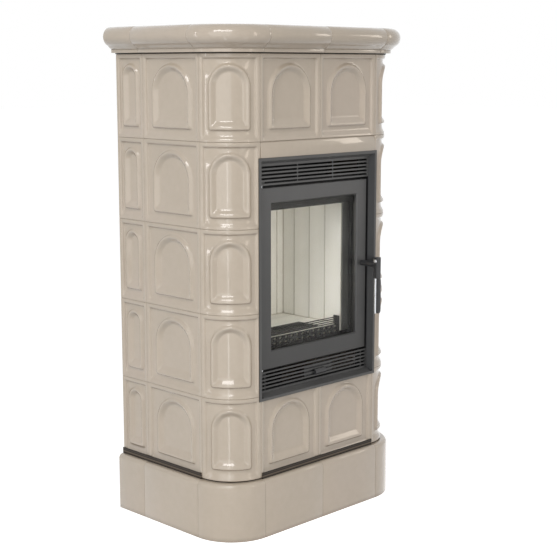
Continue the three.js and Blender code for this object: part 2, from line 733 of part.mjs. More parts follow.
// Rounded plan outline that follows the body's corners at a given inset, open to the back
function bodyOutline(by, back) {
  const half = BODY_HALF - by;
  const radius = Math.max(CORNER_RADIUS - by, 1);
  const shape = new THREE.Shape();
  shape.moveTo(-half, back);
  shape.lineTo(-half, ARC_Y);
  shape.absarc(-ARC_X, ARC_Y, radius, Math.PI, 1.5 * Math.PI, false);
  shape.absarc(ARC_X, ARC_Y, radius, 1.5 * Math.PI, 2 * Math.PI, false);
  shape.lineTo(half, back);
  shape.closePath();
  return shape;
}

const topPlate = () =>
  extrudeZ(
    bodyOutline(CORNICE_SHELF - TOP_REBATE + CLEARANCE, BODY_BACK),
    TOP_PLATE_Z,
    TOP_PLATE_Z + TOP_PLATE,
  );

// ---------------------------------------------------------------- steel frame and back panel

// Flat sheet ring under or over the tiles
function sheetRing(z) {
  const outline = bodyOutline(FRAME_INSET, BODY_BACK);
  const opening = bodyOutline(FRAME_INNER, BODY_BACK - FRAME_INNER);
  outline.holes.push(new THREE.Path(opening.getPoints(SHEET_CURVE)));
  return extrudeZ(outline, z, z + FRAME_SHEET);
}

// Upturned edges that show below the flat tiles of the front and the sides
function baseStrips() {
  const z0 = BASE_SHEET_Z;
  const z1 = z0 + STRIP_HEIGHT;
  const inner = STRIP_THICK - STRIP_REACH;
  const half = FLAT_HALF - CORNER_STRAIGHT;
  const tie = FRAME_INSET + MORTAR_LAP;
  const strips = [
    box(-half, half, -STRIP_REACH, inner, z0, z1),
    box(-half, half, -STRIP_REACH, tie, z0, z0 + FRAME_SHEET),
  ];
  const front = CORNER_LEG + CORNER_STRAIGHT;
  const outer = BODY_HALF + STRIP_REACH;
  for (const side of [-1, 1]) {
    strips.push(
      sideBox(side, BODY_HALF - inner, outer, front, BODY_BACK, z0, z1),
      sideBox(side, BODY_HALF - tie, outer, front, BODY_BACK, z0, z0 + FRAME_SHEET),
    );
  }
  return strips;
}

// Angle post with its heel towards the nearest corner of the body
function post(side, heelY, towardsY) {
  const z0 = BASE_SHEET_Z + FRAME_SHEET / 2;
  const z1 = TOP_SHEET_Z + FRAME_SHEET / 2;
  const leg = (width, depth) => {
    const end = heelY + towardsY * depth;
    const y0 = Math.min(heelY, end);
    return sideBox(side, POST_X - width, POST_X, y0, y0 + depth, z0, z1);
  };
  return join(leg(POST_LEG, POST_THICK), leg(POST_THICK, POST_LEG));
}

function steelFrame() {
  const rearPostY = PANEL_Y - CLEARANCE;
  const railTop = SHELL_BOTTOM - CLEARANCE;
  const pieces = [sheetRing(BASE_SHEET_Z), sheetRing(TOP_SHEET_Z), ...baseStrips()];
  for (const side of [-1, 1]) {
    pieces.push(
      post(side, POST_Y, 1),
      post(side, rearPostY, -1),
      sideBox(
        side,
        POST_X - RAIL_THICK,
        POST_X,
        POST_Y + POST_THICK / 2,
        rearPostY - POST_THICK / 2,
        railTop - RAIL_HEIGHT,
        railTop,
      ),
    );
  }
  const crossHalf = POST_X - RAIL_THICK / 2;
  for (const y of [LINING_FRONT, SHELL_BACK - CROSS_RAIL_DEPTH]) {
    pieces.push(box(-crossHalf, crossHalf, y, y + CROSS_RAIL_DEPTH, railTop - RAIL_THICK, railTop));
  }
  return join(...pieces);
}

const backPanel = () =>
  cut(
    box(-PANEL_HALF, PANEL_HALF, PANEL_Y, PANEL_Y + PANEL_SHEET, TILE_BASE, TILE_TOP),
    barY(
      0,
      FLUE_Z,
      PANEL_Y - REACH_THROUGH,
      BODY_BACK + REACH_THROUGH,
      FLUE_RADIUS + PANEL_FLUE_GAP,
      FLUE_FACETS,
    ),
  );

// ---------------------------------------------------------------- insert frame and louvres

const frameOutline = { half: INSERT_HALF, bottom: INSERT_BOTTOM, top: INSERT_TOP };
const lugAbove = DOOR_TOP + LUG_GAP;
const lugBelow = DOOR_BOTTOM - LUG_GAP - LUG_HEIGHT;

const pinHole = (z0, z1) => barZ(HINGE_X, HINGE_Y, z0, z1, PIN_RADIUS + CLEARANCE);

function insertFrame() {
  const back = -CLEARANCE;
  const bevelY = (by) => (by - LIP) * BEVEL_SLOPE - INSERT_PROUD; // depth of the bevel's face
  const ring = rectangleRing([
    inset(frameOutline, 0, back),
    inset(frameOutline, 0, EDGE_ROUND - INSERT_PROUD),
    inset(frameOutline, EDGE_ROUND, -INSERT_PROUD),
    inset(frameOutline, LIP, -INSERT_PROUD),
    inset(frameOutline, MOUTH_INSET, DOOR_RECESS),
    inset(frameOutline, MOUTH_INSET, COLLAR_BACK),
    inset(frameOutline, COLLAR_INSET, COLLAR_BACK),
    inset(frameOutline, COLLAR_INSET, bevelY(COLLAR_INSET + BEVEL_WALL)),
    inset(frameOutline, LIP_BACK, back),
  ]);
  const wall = COLLAR_WALL / 2;
  const lug = (z) =>
    cut(
      box(
        -COLLAR_HALF - wall,
        HINGE_X + LUG_HALF_WIDTH,
        DOOR_RECESS + LOUVRE_THICK + CLEARANCE,
        LUG_BACK,
        z,
        z + LUG_HEIGHT,
      ),
      pinHole(z - REACH_THROUGH, z + LUG_HEIGHT + REACH_THROUGH),
    );
  const keeper = box(
    COLLAR_HALF - KEEPER_REACH,
    COLLAR_HALF + wall,
    DOOR_BACK - KEEPER_SET_BACK - KEEPER_DEPTH,
    DOOR_BACK - KEEPER_SET_BACK,
    HANDLE_Z - KEEPER_HALF,
    HANDLE_Z + KEEPER_HALF,
  );
  return join(ring, lug(lugBelow), lug(lugAbove), keeper);
}

// Slotted plate between the frame's bevel and the door, with ribs set behind its slats
function louvre(bottom, top, firstSlot, ribs) {
  const half = COLLAR_HALF - CLEARANCE;
  const back = DOOR_RECESS + LOUVRE_THICK;
  const plate = box(-half, half, DOOR_RECESS, back, bottom, top);
  const slots = [];
  for (let i = 0; i < SLOT_COUNT; i += 1) {
    const z = firstSlot + i * SLOT_PITCH;
    slots.push(
      box(
        SLOT_END - half,
        half - SLOT_END,
        DOOR_RECESS - REACH_THROUGH,
        back + REACH_THROUGH,
        z,
        z + SLOT_HEIGHT,
      ),
    );
  }
  const bars = ribs.map((x) =>
    box(x - RIB / 2, x + RIB / 2, DOOR_RECESS + LOUVRE_THICK / 2, back, bottom, top),
  );
  return join(cut(plate, ...slots), ...bars);
}

const lowerLouvre = () =>
  louvre(MOUTH_FOOT + CLEARANCE, LOWER_LOUVRE_TOP, LOWER_SLOT, LOWER_RIBS);
const upperLouvre = () =>
  louvre(UPPER_LOUVRE_BOTTOM, MOUTH_HEAD - CLEARANCE, UPPER_SLOT, UPPER_RIBS);

// Air control behind the lower louvre, worked by a knob in front of it
function airSlider() {
  const slotZ = LOWER_SLOT + SLIDER_SLOT * SLOT_PITCH;
  const back = DOOR_RECESS + LOUVRE_THICK + CLEARANCE;
  const plate = box(
    SLIDER_X - SLIDER_PLATE_HALF,
    SLIDER_X + SLIDER_PLATE_HALF,
    back,
    back + SLIDER_PLATE,
    slotZ - SLOT_PITCH,
    slotZ + SLOT_HEIGHT + SLOT_PITCH,
  );
  const neck = box(
    SLIDER_X - SLIDER_NECK / 2,
    SLIDER_X + SLIDER_NECK / 2,
    DOOR_RECESS - 1,
    back + SLIDER_PLATE / 2,
    slotZ + CLEARANCE,
    slotZ + SLOT_HEIGHT - CLEARANCE,
  );
  const front = DOOR_RECESS - CLEARANCE;
  const top = slotZ + SLOT_HEIGHT;
  const bottom = top - SLIDER_KNOB_HEIGHT;
  const knob = extrudeX(
    [
      [front, bottom],
      [front, top],
      [front - SLIDER_KNOB_DEPTH / 2, top],
      [front - SLIDER_KNOB_DEPTH, top - SLIDER_KNOB_HEIGHT / 3],
      [front - SLIDER_KNOB_DEPTH, bottom + SLIDER_KNOB_HEIGHT / 3],
      [front - SLIDER_KNOB_DEPTH / 2, bottom],
    ],
    SLIDER_X - SLIDER_KNOB / 2,
    SLIDER_X + SLIDER_KNOB / 2,
  );
  return join(plate, neck, knob);
}

// ---------------------------------------------------------------- door

const doorOutline = { half: DOOR_HALF, bottom: DOOR_BOTTOM, top: DOOR_TOP };
const glassOutline = { half: GLASS_HALF, bottom: GLASS_BOTTOM, top: GLASS_TOP };
const sealOutline = { half: SEAL_HALF, bottom: SEAL_BOTTOM, top: SEAL_TOP };
const glassFace = DOOR_RECESS + GLASS_FLANGE;

function doorFrame() {
  const ring = rectangleRing([
    inset(doorOutline, 0, DOOR_BACK),
    inset(doorOutline, 0, DOOR_RECESS + EDGE_ROUND),
    inset(doorOutline, EDGE_ROUND, DOOR_RECESS),
    inset(glassOutline, -GLASS_CHAMFER, DOOR_RECESS),
    inset(glassOutline, 0, DOOR_RECESS + GLASS_CHAMFER),
    inset(glassOutline, 0, glassFace),
    inset(glassOutline, -GLASS_LAP, glassFace),
    inset(glassOutline, -GLASS_LAP, DOOR_BACK),
  ]);
  const bore = SPINDLE_RADIUS + CLEARANCE;
  return cut(
    ring,
    pinHole(DOOR_BOTTOM - REACH_THROUGH, DOOR_BOTTOM + PIN_IN_DOOR + CLEARANCE),
    pinHole(DOOR_TOP - PIN_IN_DOOR - CLEARANCE, DOOR_TOP + REACH_THROUGH),
    barY(HANDLE_X, HANDLE_Z, DOOR_RECESS - REACH_THROUGH, DOOR_BACK + REACH_THROUGH, bore),
  );
}

const doorGlass = () => {
  const by = GLASS_LAP - CLEARANCE;
  const front = glassFace + CLEARANCE;
  return box(
    -GLASS_HALF - by,
    GLASS_HALF + by,
    front,
    front + PANE_THICK,
    GLASS_BOTTOM - by,
    GLASS_TOP + by,
  );
};

// Rope seal round the door's back
function doorSeal() {
  const front = DOOR_BACK + CLEARANCE;
  const back = SHELL_FRONT - CLEARANCE;
  const half = SEAL_WIDTH / 2;
  const middle = (front + back) / 2;
  return rectangleRing([
    inset(sealOutline, half / 2, front),
    inset(sealOutline, half, middle),
    inset(sealOutline, half / 2, back),
    inset(sealOutline, -half / 2, back),
    inset(sealOutline, -half, middle),
    inset(sealOutline, -half / 2, front),
  ]);
}

// Hinge pins: the lower one carries the door on its collar, the upper one hangs by its head
const lowerPin = () =>
  join(
    barZ(HINGE_X, HINGE_Y, lugBelow, DOOR_BOTTOM + PIN_IN_DOOR, PIN_RADIUS),
    barZ(
      HINGE_X,
      HINGE_Y,
      lugBelow + LUG_HEIGHT + CLEARANCE,
      DOOR_BOTTOM - CLEARANCE,
      PIN_COLLAR_RADIUS,
    ),
  );
const upperPin = () => {
  const head = lugAbove + LUG_HEIGHT + CLEARANCE;
  return join(
    barZ(HINGE_X, HINGE_Y, DOOR_TOP - PIN_IN_DOOR, head + PIN_HEAD / 2, PIN_RADIUS),
    barZ(HINGE_X, HINGE_Y, head, head + PIN_HEAD, PIN_COLLAR_RADIUS),
  );
};

// Handle: a shaft through the door's stile, with the latch tongue behind it
function handleShaft() {
  const tongueFront = DOOR_BACK + CLEARANCE;
  return join(
    barY(HANDLE_X, HANDLE_Z, HUB_BACK - SHAFT_SOCKET, DOOR_RECESS - CLEARANCE, SHAFT_RADIUS),
    barY(HANDLE_X, HANDLE_Z, 0, tongueFront + TONGUE_THICK / 2, SPINDLE_RADIUS),
    box(
      HANDLE_X - TONGUE_HALF,
      TONGUE_TIP,
      tongueFront,
      tongueFront + TONGUE_THICK,
      HANDLE_Z - TONGUE_HALF,
      HANDLE_Z + TONGUE_HALF,
    ),
  );
}

// Upright bar with rounded corners, centred on the handle
function roundedBar(width, y0, y1, round, z0, z1) {
  const x0 = HANDLE_X - width / 2;
  const x1 = HANDLE_X + width / 2;
  const shape = new THREE.Shape();
  shape.moveTo(x0 + round, y0);
  shape.lineTo(x1 - round, y0);
  shape.absarc(x1 - round, y0 + round, round, -Math.PI / 2, 0, false);
  shape.absarc(x1 - round, y1 - round, round, 0, Math.PI / 2, false);
  shape.absarc(x0 + round, y1 - round, round, Math.PI / 2, Math.PI, false);
  shape.absarc(x0 + round, y0 + round, round, Math.PI, 1.5 * Math.PI, false);
  shape.closePath();
  return extrudeZ(shape, z0, z1, ROUND_FACETS / 2);
}

const handleHub = () =>
  cut(
    roundedBar(
      HUB_WIDTH,
      HUB_FRONT,
      HUB_BACK,
      HANDLE_ROUND,
      HANDLE_Z - HUB_BELOW,
      HANDLE_Z + HUB_ABOVE,
    ),
    barY(
      HANDLE_X,
      HANDLE_Z,
      HUB_BACK - SHAFT_SOCKET - CLEARANCE,
      HUB_BACK + REACH_THROUGH,
      SHAFT_RADIUS + CLEARANCE,
    ),
  );

const handleGrip = () => {
  const top = HANDLE_Z - HUB_BELOW - CLEARANCE;
  const front = HUB_FRONT + GRIP_SET_BACK;
  const back = front + GRIP_THICK;
  return roundedBar(GRIP_WIDTH, front, back, HANDLE_ROUND, top - GRIP_LENGTH, top);
};

// ---------------------------------------------------------------- firebox

function fireboxShell() {
  const wall = SHELL_WALL;
  const inner = SHELL_HALF - wall;
  const plateHalf = COLLAR_HALF + COLLAR_WALL - CLEARANCE;
  const plateFront = SHELL_FRONT;
  const plateBack = plateFront + wall;
  const domeFront = LINING_FRONT + DOME_SET_BACK;
  const outside = join(
    box(-SHELL_HALF, SHELL_HALF, plateFront, SHELL_BACK, SHELL_BOTTOM, SHELL_SHOULDER),
    box(-SHELL_HALF, SHELL_HALF, domeFront, SHELL_BACK, SHELL_SHOULDER - wall, SHELL_TOP),
    box(
      -plateHalf,
      plateHalf,
      plateFront,
      plateBack,
      MOUTH_FOOT - COLLAR_WALL + CLEARANCE,
      MOUTH_HEAD + COLLAR_WALL - CLEARANCE,
    ),
  );
  const through = [plateFront - REACH_THROUGH, plateBack + REACH_THROUGH];
  const windowHalf = COLLAR_HALF - AIR_WINDOW_END;
  const airWindow = (z) => box(-windowHalf, windowHalf, ...through, z, z + SLOTS_HEIGHT);
  const hollow = cut(
    outside,
    box(-inner, inner, plateBack, SHELL_BACK - wall, SHELL_BOTTOM + wall, SHELL_SHOULDER - wall),
    box(
      -inner,
      inner,
      domeFront + wall,
      SHELL_BACK - wall,
      SHELL_SHOULDER - 2 * wall,
      SHELL_TOP - wall,
    ),
    box(-MOUTH_HALF, MOUTH_HALF, ...through, MOUTH_BOTTOM, MOUTH_TOP),
    airWindow(LOWER_SLOT),
    airWindow(UPPER_SLOT),
    barY(
      0,
      FLUE_Z,
      SHELL_BACK - wall - REACH_THROUGH,
      SHELL_BACK + REACH_THROUGH,
      FLUE_RADIUS - FLUE_WALL,
      FLUE_FACETS,
    ),
  );
  const ledgeTop = HEARTH_BOTTOM - CLEARANCE;
  const ledge = (side) =>
    sideBox(
      side,
      inner - LEDGE_WIDTH,
      inner + wall / 2,
      LINING_FRONT,
      SHELL_BACK - wall / 2,
      ledgeTop - LEDGE_THICK,
      ledgeTop,
    );
  return join(hollow, ledge(-1), ledge(1));
}

// Where the grate lies in the hearth
const grateHalf = GRATE_WIDTH / 2;
const grateFront = LINING_FRONT + GRATE_SET_BACK;
const grateBack = grateFront + GRATE_DEPTH;
const grateBottom = HEARTH_TOP - GRATE_THICK;

const hearthFloor = () =>
  cut(
    box(-LINING_OUTER, LINING_OUTER, LINING_FRONT, LINING_BACK, HEARTH_BOTTOM, HEARTH_TOP),
    box(
      -grateHalf - CLEARANCE,
      grateHalf + CLEARANCE,
      grateFront - CLEARANCE,
      grateBack + CLEARANCE,
      grateBottom - CLEARANCE,
      HEARTH_TOP + REACH_THROUGH,
    ),
    box(
      GRATE_SEAT - grateHalf,
      grateHalf - GRATE_SEAT,
      grateFront + GRATE_SEAT,
      grateBack - GRATE_SEAT,
      HEARTH_BOTTOM - REACH_THROUGH,
      HEARTH_TOP,
    ),
  );

function grate() {
  const margin = GRATE_SEAT + GRATE_SLOT / 2;
  const pitch = (GRATE_DEPTH - 2 * margin) / GRATE_SLOTS;
  const slots = [];
  for (let i = 0; i < GRATE_SLOTS; i += 1) {
    const y = grateFront + margin + (i + 0.5) * pitch - GRATE_SLOT / 2;
    slots.push(
      box(
        margin - grateHalf,
        grateHalf - margin,
        y,
        y + GRATE_SLOT,
        grateBottom - REACH_THROUGH,
        HEARTH_TOP + REACH_THROUGH,
      ),
    );
  }
  const plate = box(-grateHalf, grateHalf, grateFront, grateBack, grateBottom, HEARTH_TOP);
  return cut(plate, ...slots);
}

// V-shaped upright joint between two boards: a four-sided bar, as wide and as deep as given
function boardJoint(x, y, wideX, wideY) {
  const height = 2 * (MOUTH_TOP - HEARTH_TOP);
  const bar = new THREE.CylinderGeometry(1, 1, height, 4);
  bar.rotateX(Math.PI / 2);
  bar.scale(wideX, wideY, 1);
  bar.translate(x, y, HEARTH_TOP + height / 2);
  return solid(bar);
}

function sideLining(side) {
  const joints = [];
  for (let i = 1; i <= BOARD_JOINTS; i += 1) {
    const y = LINING_FRONT + i * BOARD_WIDTH;
    joints.push(boardJoint(side * LINING_FACE, y, JOINT_DEPTH, JOINT_WIDTH / 2));
  }
  const bottom = HEARTH_TOP + CLEARANCE;
  const board = sideBox(
    side,
    LINING_FACE,
    LINING_OUTER,
    LINING_FRONT,
    LINING_BACK,
    bottom,
    MOUTH_TOP,
  );
  return cut(board, ...joints);
}

function backLining() {
  const joints = [];
  for (let i = 0; i < BACK_BOARD_JOINTS; i += 1) {
    const x = (i - (BACK_BOARD_JOINTS - 1) / 2) * BACK_BOARD_WIDTH;
    joints.push(boardJoint(x, BACK_LINING_FACE, JOINT_WIDTH / 2, JOINT_DEPTH));
  }
  const half = LINING_FACE - CLEARANCE;
  const bottom = HEARTH_TOP + CLEARANCE;
  const top = MOUTH_TOP - BACK_LINING_DROP;
  return cut(box(-half, half, BACK_LINING_FACE, LINING_BACK, bottom, top), ...joints);
}

function bafflePlate() {
  const front = LINING_FRONT + BAFFLE_SET_BACK;
  const bottom = MOUTH_TOP + CLEARANCE;
  return box(-LINING_OUTER, LINING_OUTER, front, LINING_BACK, bottom, bottom + BAFFLE_THICK);
}

// Slotted and pierced fence that keeps logs off the glass, with wings that stand on the hearth
function logFence() {
  const half = LINING_FACE - FENCE_GAP;
  const front = LINING_FRONT - FENCE_FORWARD;
  const back = front + FENCE_THICK;
  const top = HEARTH_TOP + FENCE_ABOVE;
  const through = [front - REACH_THROUGH, back + REACH_THROUGH];
  const tools = [];
  for (let i = 1; i <= FENCE_SLOTS; i += 1) {
    const z = top - i * FENCE_SLOT_PITCH;
    tools.push(box(FENCE_SLOT_END - half, half - FENCE_SLOT_END, ...through, z, z + FENCE_SLOT));
  }
  const holesTop = top - FENCE_SLOTS * FENCE_SLOT_PITCH;
  for (let row = 0; row < FENCE_HOLE_ROWS; row += 1) {
    const z = holesTop - (row + 0.5) * FENCE_ROW_PITCH;
    for (let i = 0; i < FENCE_HOLES; i += 1) {
      const x = (i - (FENCE_HOLES - 1) / 2) * FENCE_HOLE_PITCH;
      const oval = new THREE.CylinderGeometry(0.5, 0.5, FENCE_THICK + 2 * REACH_THROUGH, 6);
      oval.rotateY(Math.PI / 2);
      oval.scale(FENCE_HOLE.wide, 1, FENCE_HOLE.high);
      oval.translate(x, front + FENCE_THICK / 2, z);
      tools.push(solid(oval));
    }
  }
  const plate = box(-half, half, front, back, HEARTH_TOP - FENCE_BELOW, top);
  const wing = (side) =>
    sideBox(
      side,
      half - FENCE_THICK,
      half,
      front,
      back + FENCE_WING,
      HEARTH_TOP + CLEARANCE,
      top,
    );
  return join(cut(plate, ...tools), wing(-1), wing(1));
}

// Open tray under the grate, with a bent handle strip at its front
function ashPan() {
  const half = SHELL_HALF - SHELL_WALL - PAN_GAP;
  const front = LINING_FRONT;
  const back = front + PAN_LENGTH;
  const bottom = SHELL_BOTTOM + SHELL_WALL + CLEARANCE;
  const top = bottom + PAN_HEIGHT;
  const tray = cut(
    box(-half, half, front, back, bottom, top),
    box(
      PAN_WALL - half,
      half - PAN_WALL,
      front + PAN_WALL,
      back - PAN_WALL,
      bottom + PAN_WALL,
      top + REACH_THROUGH,
    ),
  );
  const stripTop = top - PAN_HANDLE_DROP;
  const stripFront = front - PAN_HANDLE_REACH;
  const root = front + PAN_WALL / 2;
  const strip = extrudeX(
    [
      [root, stripTop],
      [stripFront, stripTop],
      [stripFront, stripTop - PAN_HANDLE_REACH],
      [stripFront + PAN_WALL, stripTop - PAN_HANDLE_REACH],
      [stripFront + PAN_WALL, stripTop - PAN_WALL],
      [root, stripTop - PAN_WALL],
    ],
    -PAN_HANDLE_HALF,
    PAN_HANDLE_HALF,
  );
  return join(tray, strip);
}

// Flue collar on the back of the firebox, through the back panel
function flueCollar() {
  const front = SHELL_BACK + CLEARANCE;
  const outer = join(
    barY(0, FLUE_Z, front, BODY_BACK + FLUE_PAST_BACK, FLUE_RADIUS, FLUE_FACETS),
    barY(0, FLUE_Z, front, front + FLUE_FLANGE_THICK, FLUE_RADIUS + FLUE_FLANGE, FLUE_FACETS),
  );
  return cut(
    outer,
    barY(
      0,
      FLUE_Z,
      front - REACH_THROUGH,
      BODY_BACK + FLUE_PAST_BACK + REACH_THROUGH,
      FLUE_RADIUS - FLUE_WALL,
      FLUE_FACETS,
    ),
  );
}

// ---------------------------------------------------------------- assembly

const stove = new THREE.Group();
// The part's own origin is on the floor under the middle of its box.
stove.position.y = (FRONT_REACH - REAR_REACH) / 2;

function add(name, body, material) {
  const mesh = body.getMesh();
  const points = new Float32Array(mesh.numVert * 3);
  for (let i = 0; i < mesh.numVert; i += 1) {
    const start = i * mesh.numProp;
    points.set(mesh.vertProperties.subarray(start, start + 3), i * 3);
  }
  const geometry = new THREE.BufferGeometry();
  geometry.setAttribute("position", new THREE.BufferAttribute(points, 3));
  geometry.setIndex(new THREE.BufferAttribute(new Uint32Array(mesh.triVerts), 1));
  geometry.computeVertexNormals();
  const piece = new THREE.Mesh(geometry, material);
  piece.name = name;
  stove.add(piece);
}

for (const [label, side] of [
  ["left", -1],
  ["right", 1],
]) {
  for (let row = 0; row < TILE_ROWS; row += 1) {
    add(`corner_tile_${label}_${row + 1}`, cornerTile(side, row), GLAZE());
    add(`side_tile_${label}_${row + 1}`, sideTile(side, row), GLAZE());
  }
  add(`rear_tiles_${label}`, rearTiles(side), GLAZE());
  add(`plinth_corner_${label}`, cornerRun(plinthProfile, side), GLAZE());
  add(`plinth_side_${label}`, sideRun(plinthProfile, side), GLAZE());
  add(`cornice_corner_${label}`, cornerRun(corniceProfile, side), GLAZE());
  add(`cornice_side_${label}`, sideRun(corniceProfile, side), GLAZE());
  add(`firebox_lining_${label}`, sideLining(side), FIRECLAY());
}
add("plinth_front", frontRun(plinthProfile), GLAZE());
add("cornice_front", frontRun(corniceProfile), GLAZE());
add("front_tiles_bottom", frontTilesBelow(), GLAZE());
add("front_tiles_top", frontTiles(TILE_ROWS - 1), GLAZE());
add("lintel_tile", lintelTile(), GLAZE());
add("steel_frame", steelFrame(), PAINTED_STEEL());
add("back_panel", backPanel(), SHEET_STEEL());
add("top_plate", topPlate(), SHEET_STEEL());
add("insert_frame", insertFrame(), PAINTED_STEEL());
add("upper_louvre", upperLouvre(), PAINTED_STEEL());
add("lower_louvre", lowerLouvre(), PAINTED_STEEL());
add("air_slider", airSlider(), DARK_STEEL());
add("door_frame", doorFrame(), PAINTED_STEEL());
add("door_glass", doorGlass(), PANE());
add("door_seal", doorSeal(), ROPE());
add("hinge_pin_lower", lowerPin(), BRIGHT_STEEL());
add("hinge_pin_upper", upperPin(), BRIGHT_STEEL());
add("handle_shaft", handleShaft(), DARK_STEEL());
add("handle_hub", handleHub(), DARK_STEEL());
add("handle_grip", handleGrip(), BRIGHT_STEEL());
add("firebox_shell", fireboxShell(), SHEET_STEEL());
add("firebox_lining_back", backLining(), FIRECLAY());
add("hearth_floor", hearthFloor(), FIRECLAY());
add("grate", grate(), CAST_IRON());
add("baffle_plate", bafflePlate(), FIRECLAY());
add("log_fence", logFence(), CAST_IRON());
add("ash_pan", ashPan(), SHEET_STEEL());
add("flue_collar", flueCollar(), SHEET_STEEL());

export default stove;
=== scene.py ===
"""Looks of the tiled stove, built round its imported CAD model.

Lengths are millimetres where nothing else is said. The stove's own y runs backwards from the
crests of the front tiles, and SHIFT_Y takes it to the frame. Lamps, the camera and places that
a material reads are in metres of the frame.
"""

import json
import math

import bpy
import numpy as np
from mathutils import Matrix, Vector

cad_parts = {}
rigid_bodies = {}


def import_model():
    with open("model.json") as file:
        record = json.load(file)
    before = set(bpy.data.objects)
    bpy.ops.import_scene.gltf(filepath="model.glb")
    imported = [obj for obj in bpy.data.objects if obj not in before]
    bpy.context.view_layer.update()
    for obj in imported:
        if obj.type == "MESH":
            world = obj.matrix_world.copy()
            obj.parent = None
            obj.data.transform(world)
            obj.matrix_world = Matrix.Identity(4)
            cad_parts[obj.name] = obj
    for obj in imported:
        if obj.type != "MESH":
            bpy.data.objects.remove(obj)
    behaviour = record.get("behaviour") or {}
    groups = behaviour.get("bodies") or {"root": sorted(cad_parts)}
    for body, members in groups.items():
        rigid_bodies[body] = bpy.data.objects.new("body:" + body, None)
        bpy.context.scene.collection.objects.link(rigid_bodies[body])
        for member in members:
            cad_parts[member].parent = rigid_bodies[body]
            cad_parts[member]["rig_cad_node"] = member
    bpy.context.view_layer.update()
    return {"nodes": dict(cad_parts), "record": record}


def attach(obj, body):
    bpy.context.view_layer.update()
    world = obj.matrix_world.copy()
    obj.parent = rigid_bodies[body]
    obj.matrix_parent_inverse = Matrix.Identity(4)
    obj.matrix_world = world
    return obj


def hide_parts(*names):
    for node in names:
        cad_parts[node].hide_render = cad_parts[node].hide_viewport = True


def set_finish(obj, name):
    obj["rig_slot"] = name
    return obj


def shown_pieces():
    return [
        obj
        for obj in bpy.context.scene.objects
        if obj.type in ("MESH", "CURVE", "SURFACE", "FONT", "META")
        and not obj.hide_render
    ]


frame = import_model()

MM = 0.001
SHIFT_Y = -213.0  # from the front tiles' crests to the frame's origin
SIDES = ((-1, "left"), (1, "right"))

# Places and sizes of the CAD model
TILE_PITCH = 223.0
TILE = 222.7  # face of a whole tile
ROWS = 5
TILE_BASE = 161.1
BODY_HALF = 334.5  # half width over the crests of the side tiles
BODY_BACK = 446.0
CORNER_R = 110.0
ARC_X = 224.5  # centre of the right corner's arc
ARC_Y = 110.0
CORNER_WIDTH = math.pi / 2 * CORNER_R + 2.7  # along the arc
SIDE_CENTRE = 223.0  # middle of the side's wide tiles
REAR_CENTRE = 390.25  # middle of its narrow ones
REAR_WIDTH = 111.2
PLINTH_TOP = 158.5
CORNICE_Z = 1278.4
CORNICE_TOP = 1346.95
CUT_TOP = 376.99  # the bottom front tiles end here, behind the insert
LINTEL_BOTTOM = 1004.8


# ---------------------------------------------------------------- meshes


def to_frame(points):
    p = np.array(points, float)
    p[..., 1] += SHIFT_Y
    return p * MM


def mesh_object(name, points, faces, sharp_angle=None):
    """A smooth-shaded object; edges sharper than sharp_angle in degrees stay sharp."""
    mesh = bpy.data.meshes.new(name)
    mesh.from_pydata([tuple(p) for p in to_frame(points)], [], faces)
    mesh.validate()
    mesh.update()
    mesh.shade_smooth()
    if sharp_angle:
        mesh.set_sharp_from_angle(angle=math.radians(sharp_angle))
    obj = bpy.data.objects.new(name, mesh)
    bpy.context.scene.collection.objects.link(obj)
    return obj


def ride_and_slot(obj, body, node, slot):
    """Puts a piece on its body, in the place of a CAD node if one is given."""
    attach(obj, body)
    if node:
        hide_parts(node)
    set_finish(obj, slot)


def ring_faces(rows, cols, flip=False):
    """Quads between closed rings of points that follow one another."""
    faces = []
    for r in range(rows - 1):
        for c in range(cols):
            a, b = r * cols + c, r * cols + (c + 1) % cols
            d, e = a + cols, b + cols
            faces.append((a, d, e, b) if flip else (a, b, e, d))
    return faces


def end_faces(rows, cols, flip=False):
    """The faces that close the first and the last ring."""
    top = (rows - 1) * cols
    if flip:
        return [tuple(range(cols)), tuple(range(top + cols - 1, top - 1, -1))]
    return [tuple(range(cols - 1, -1, -1)), tuple(range(top, top + cols))]


def smooth_path(points, steps):
    """Catmull-Rom points through the given ones."""
    p = np.array(points, float)
    ext = np.vstack([2 * p[0] - p[1], p, 2 * p[-1] - p[-2]])
    out = []
    for i in range(len(p) - 1):
        a, b, c, d = ext[i : i + 4]
        for k in range(steps):
            t = k / steps
            point = 2 * b + (c - a) * t
            point = point + (2 * a - 5 * b + 4 * c - d) * t * t
            point = point + (3 * b - a - 3 * c + d) * t**3
            out.append(0.5 * point)
    out.append(p[-1])
    return np.array(out)


# ---------------------------------------------------------------- relief tiles

# Points along a loop's bottom, along each side, and over its head
SILL_N = 26
SIDE_N = 12
HEAD_N = 48
RING_STEPS = 2  # loops for each row of a line below

# Back of a tile: distance inside its edges, depth below its crest
BACK_LINE = ((12.0, 16.0), (12.0, 40.0), (0.3, 40.0), (0.0, 39.5), (0.0, 16.0))
# Frame band of a tile: distance inside its top and side edges, distance above its bottom edge,
# depth below its crest, corner radius. The inner step is steep except at the bottom, where it is
# a broad slope.
FRAME_LINE = [
    (0.0, 0.0, 1.7, 1.0),
    (0.25, 0.25, 0.9, 1.2),
    (0.9, 0.8, 0.3, 1.6),
    (2.2, 1.8, 0.0, 2.2),
    (5.0, 3.4, 0.15, 3.0),
    (8.6, 5.4, 0.6, 3.6),
    (10.6, 8.2, 1.6, 4.0),
    (12.0, 11.2, 3.3, 4.0),
    (13.0, 14.2, 5.0, 3.8),
    (14.0, 17.0, 6.2, 3.6),
    (15.6, 19.8, 6.9, 3.4),
    (18.5, 22.6, 7.2, 3.0),
]
FIELD_EDGE = FRAME_LINE[-1][0]
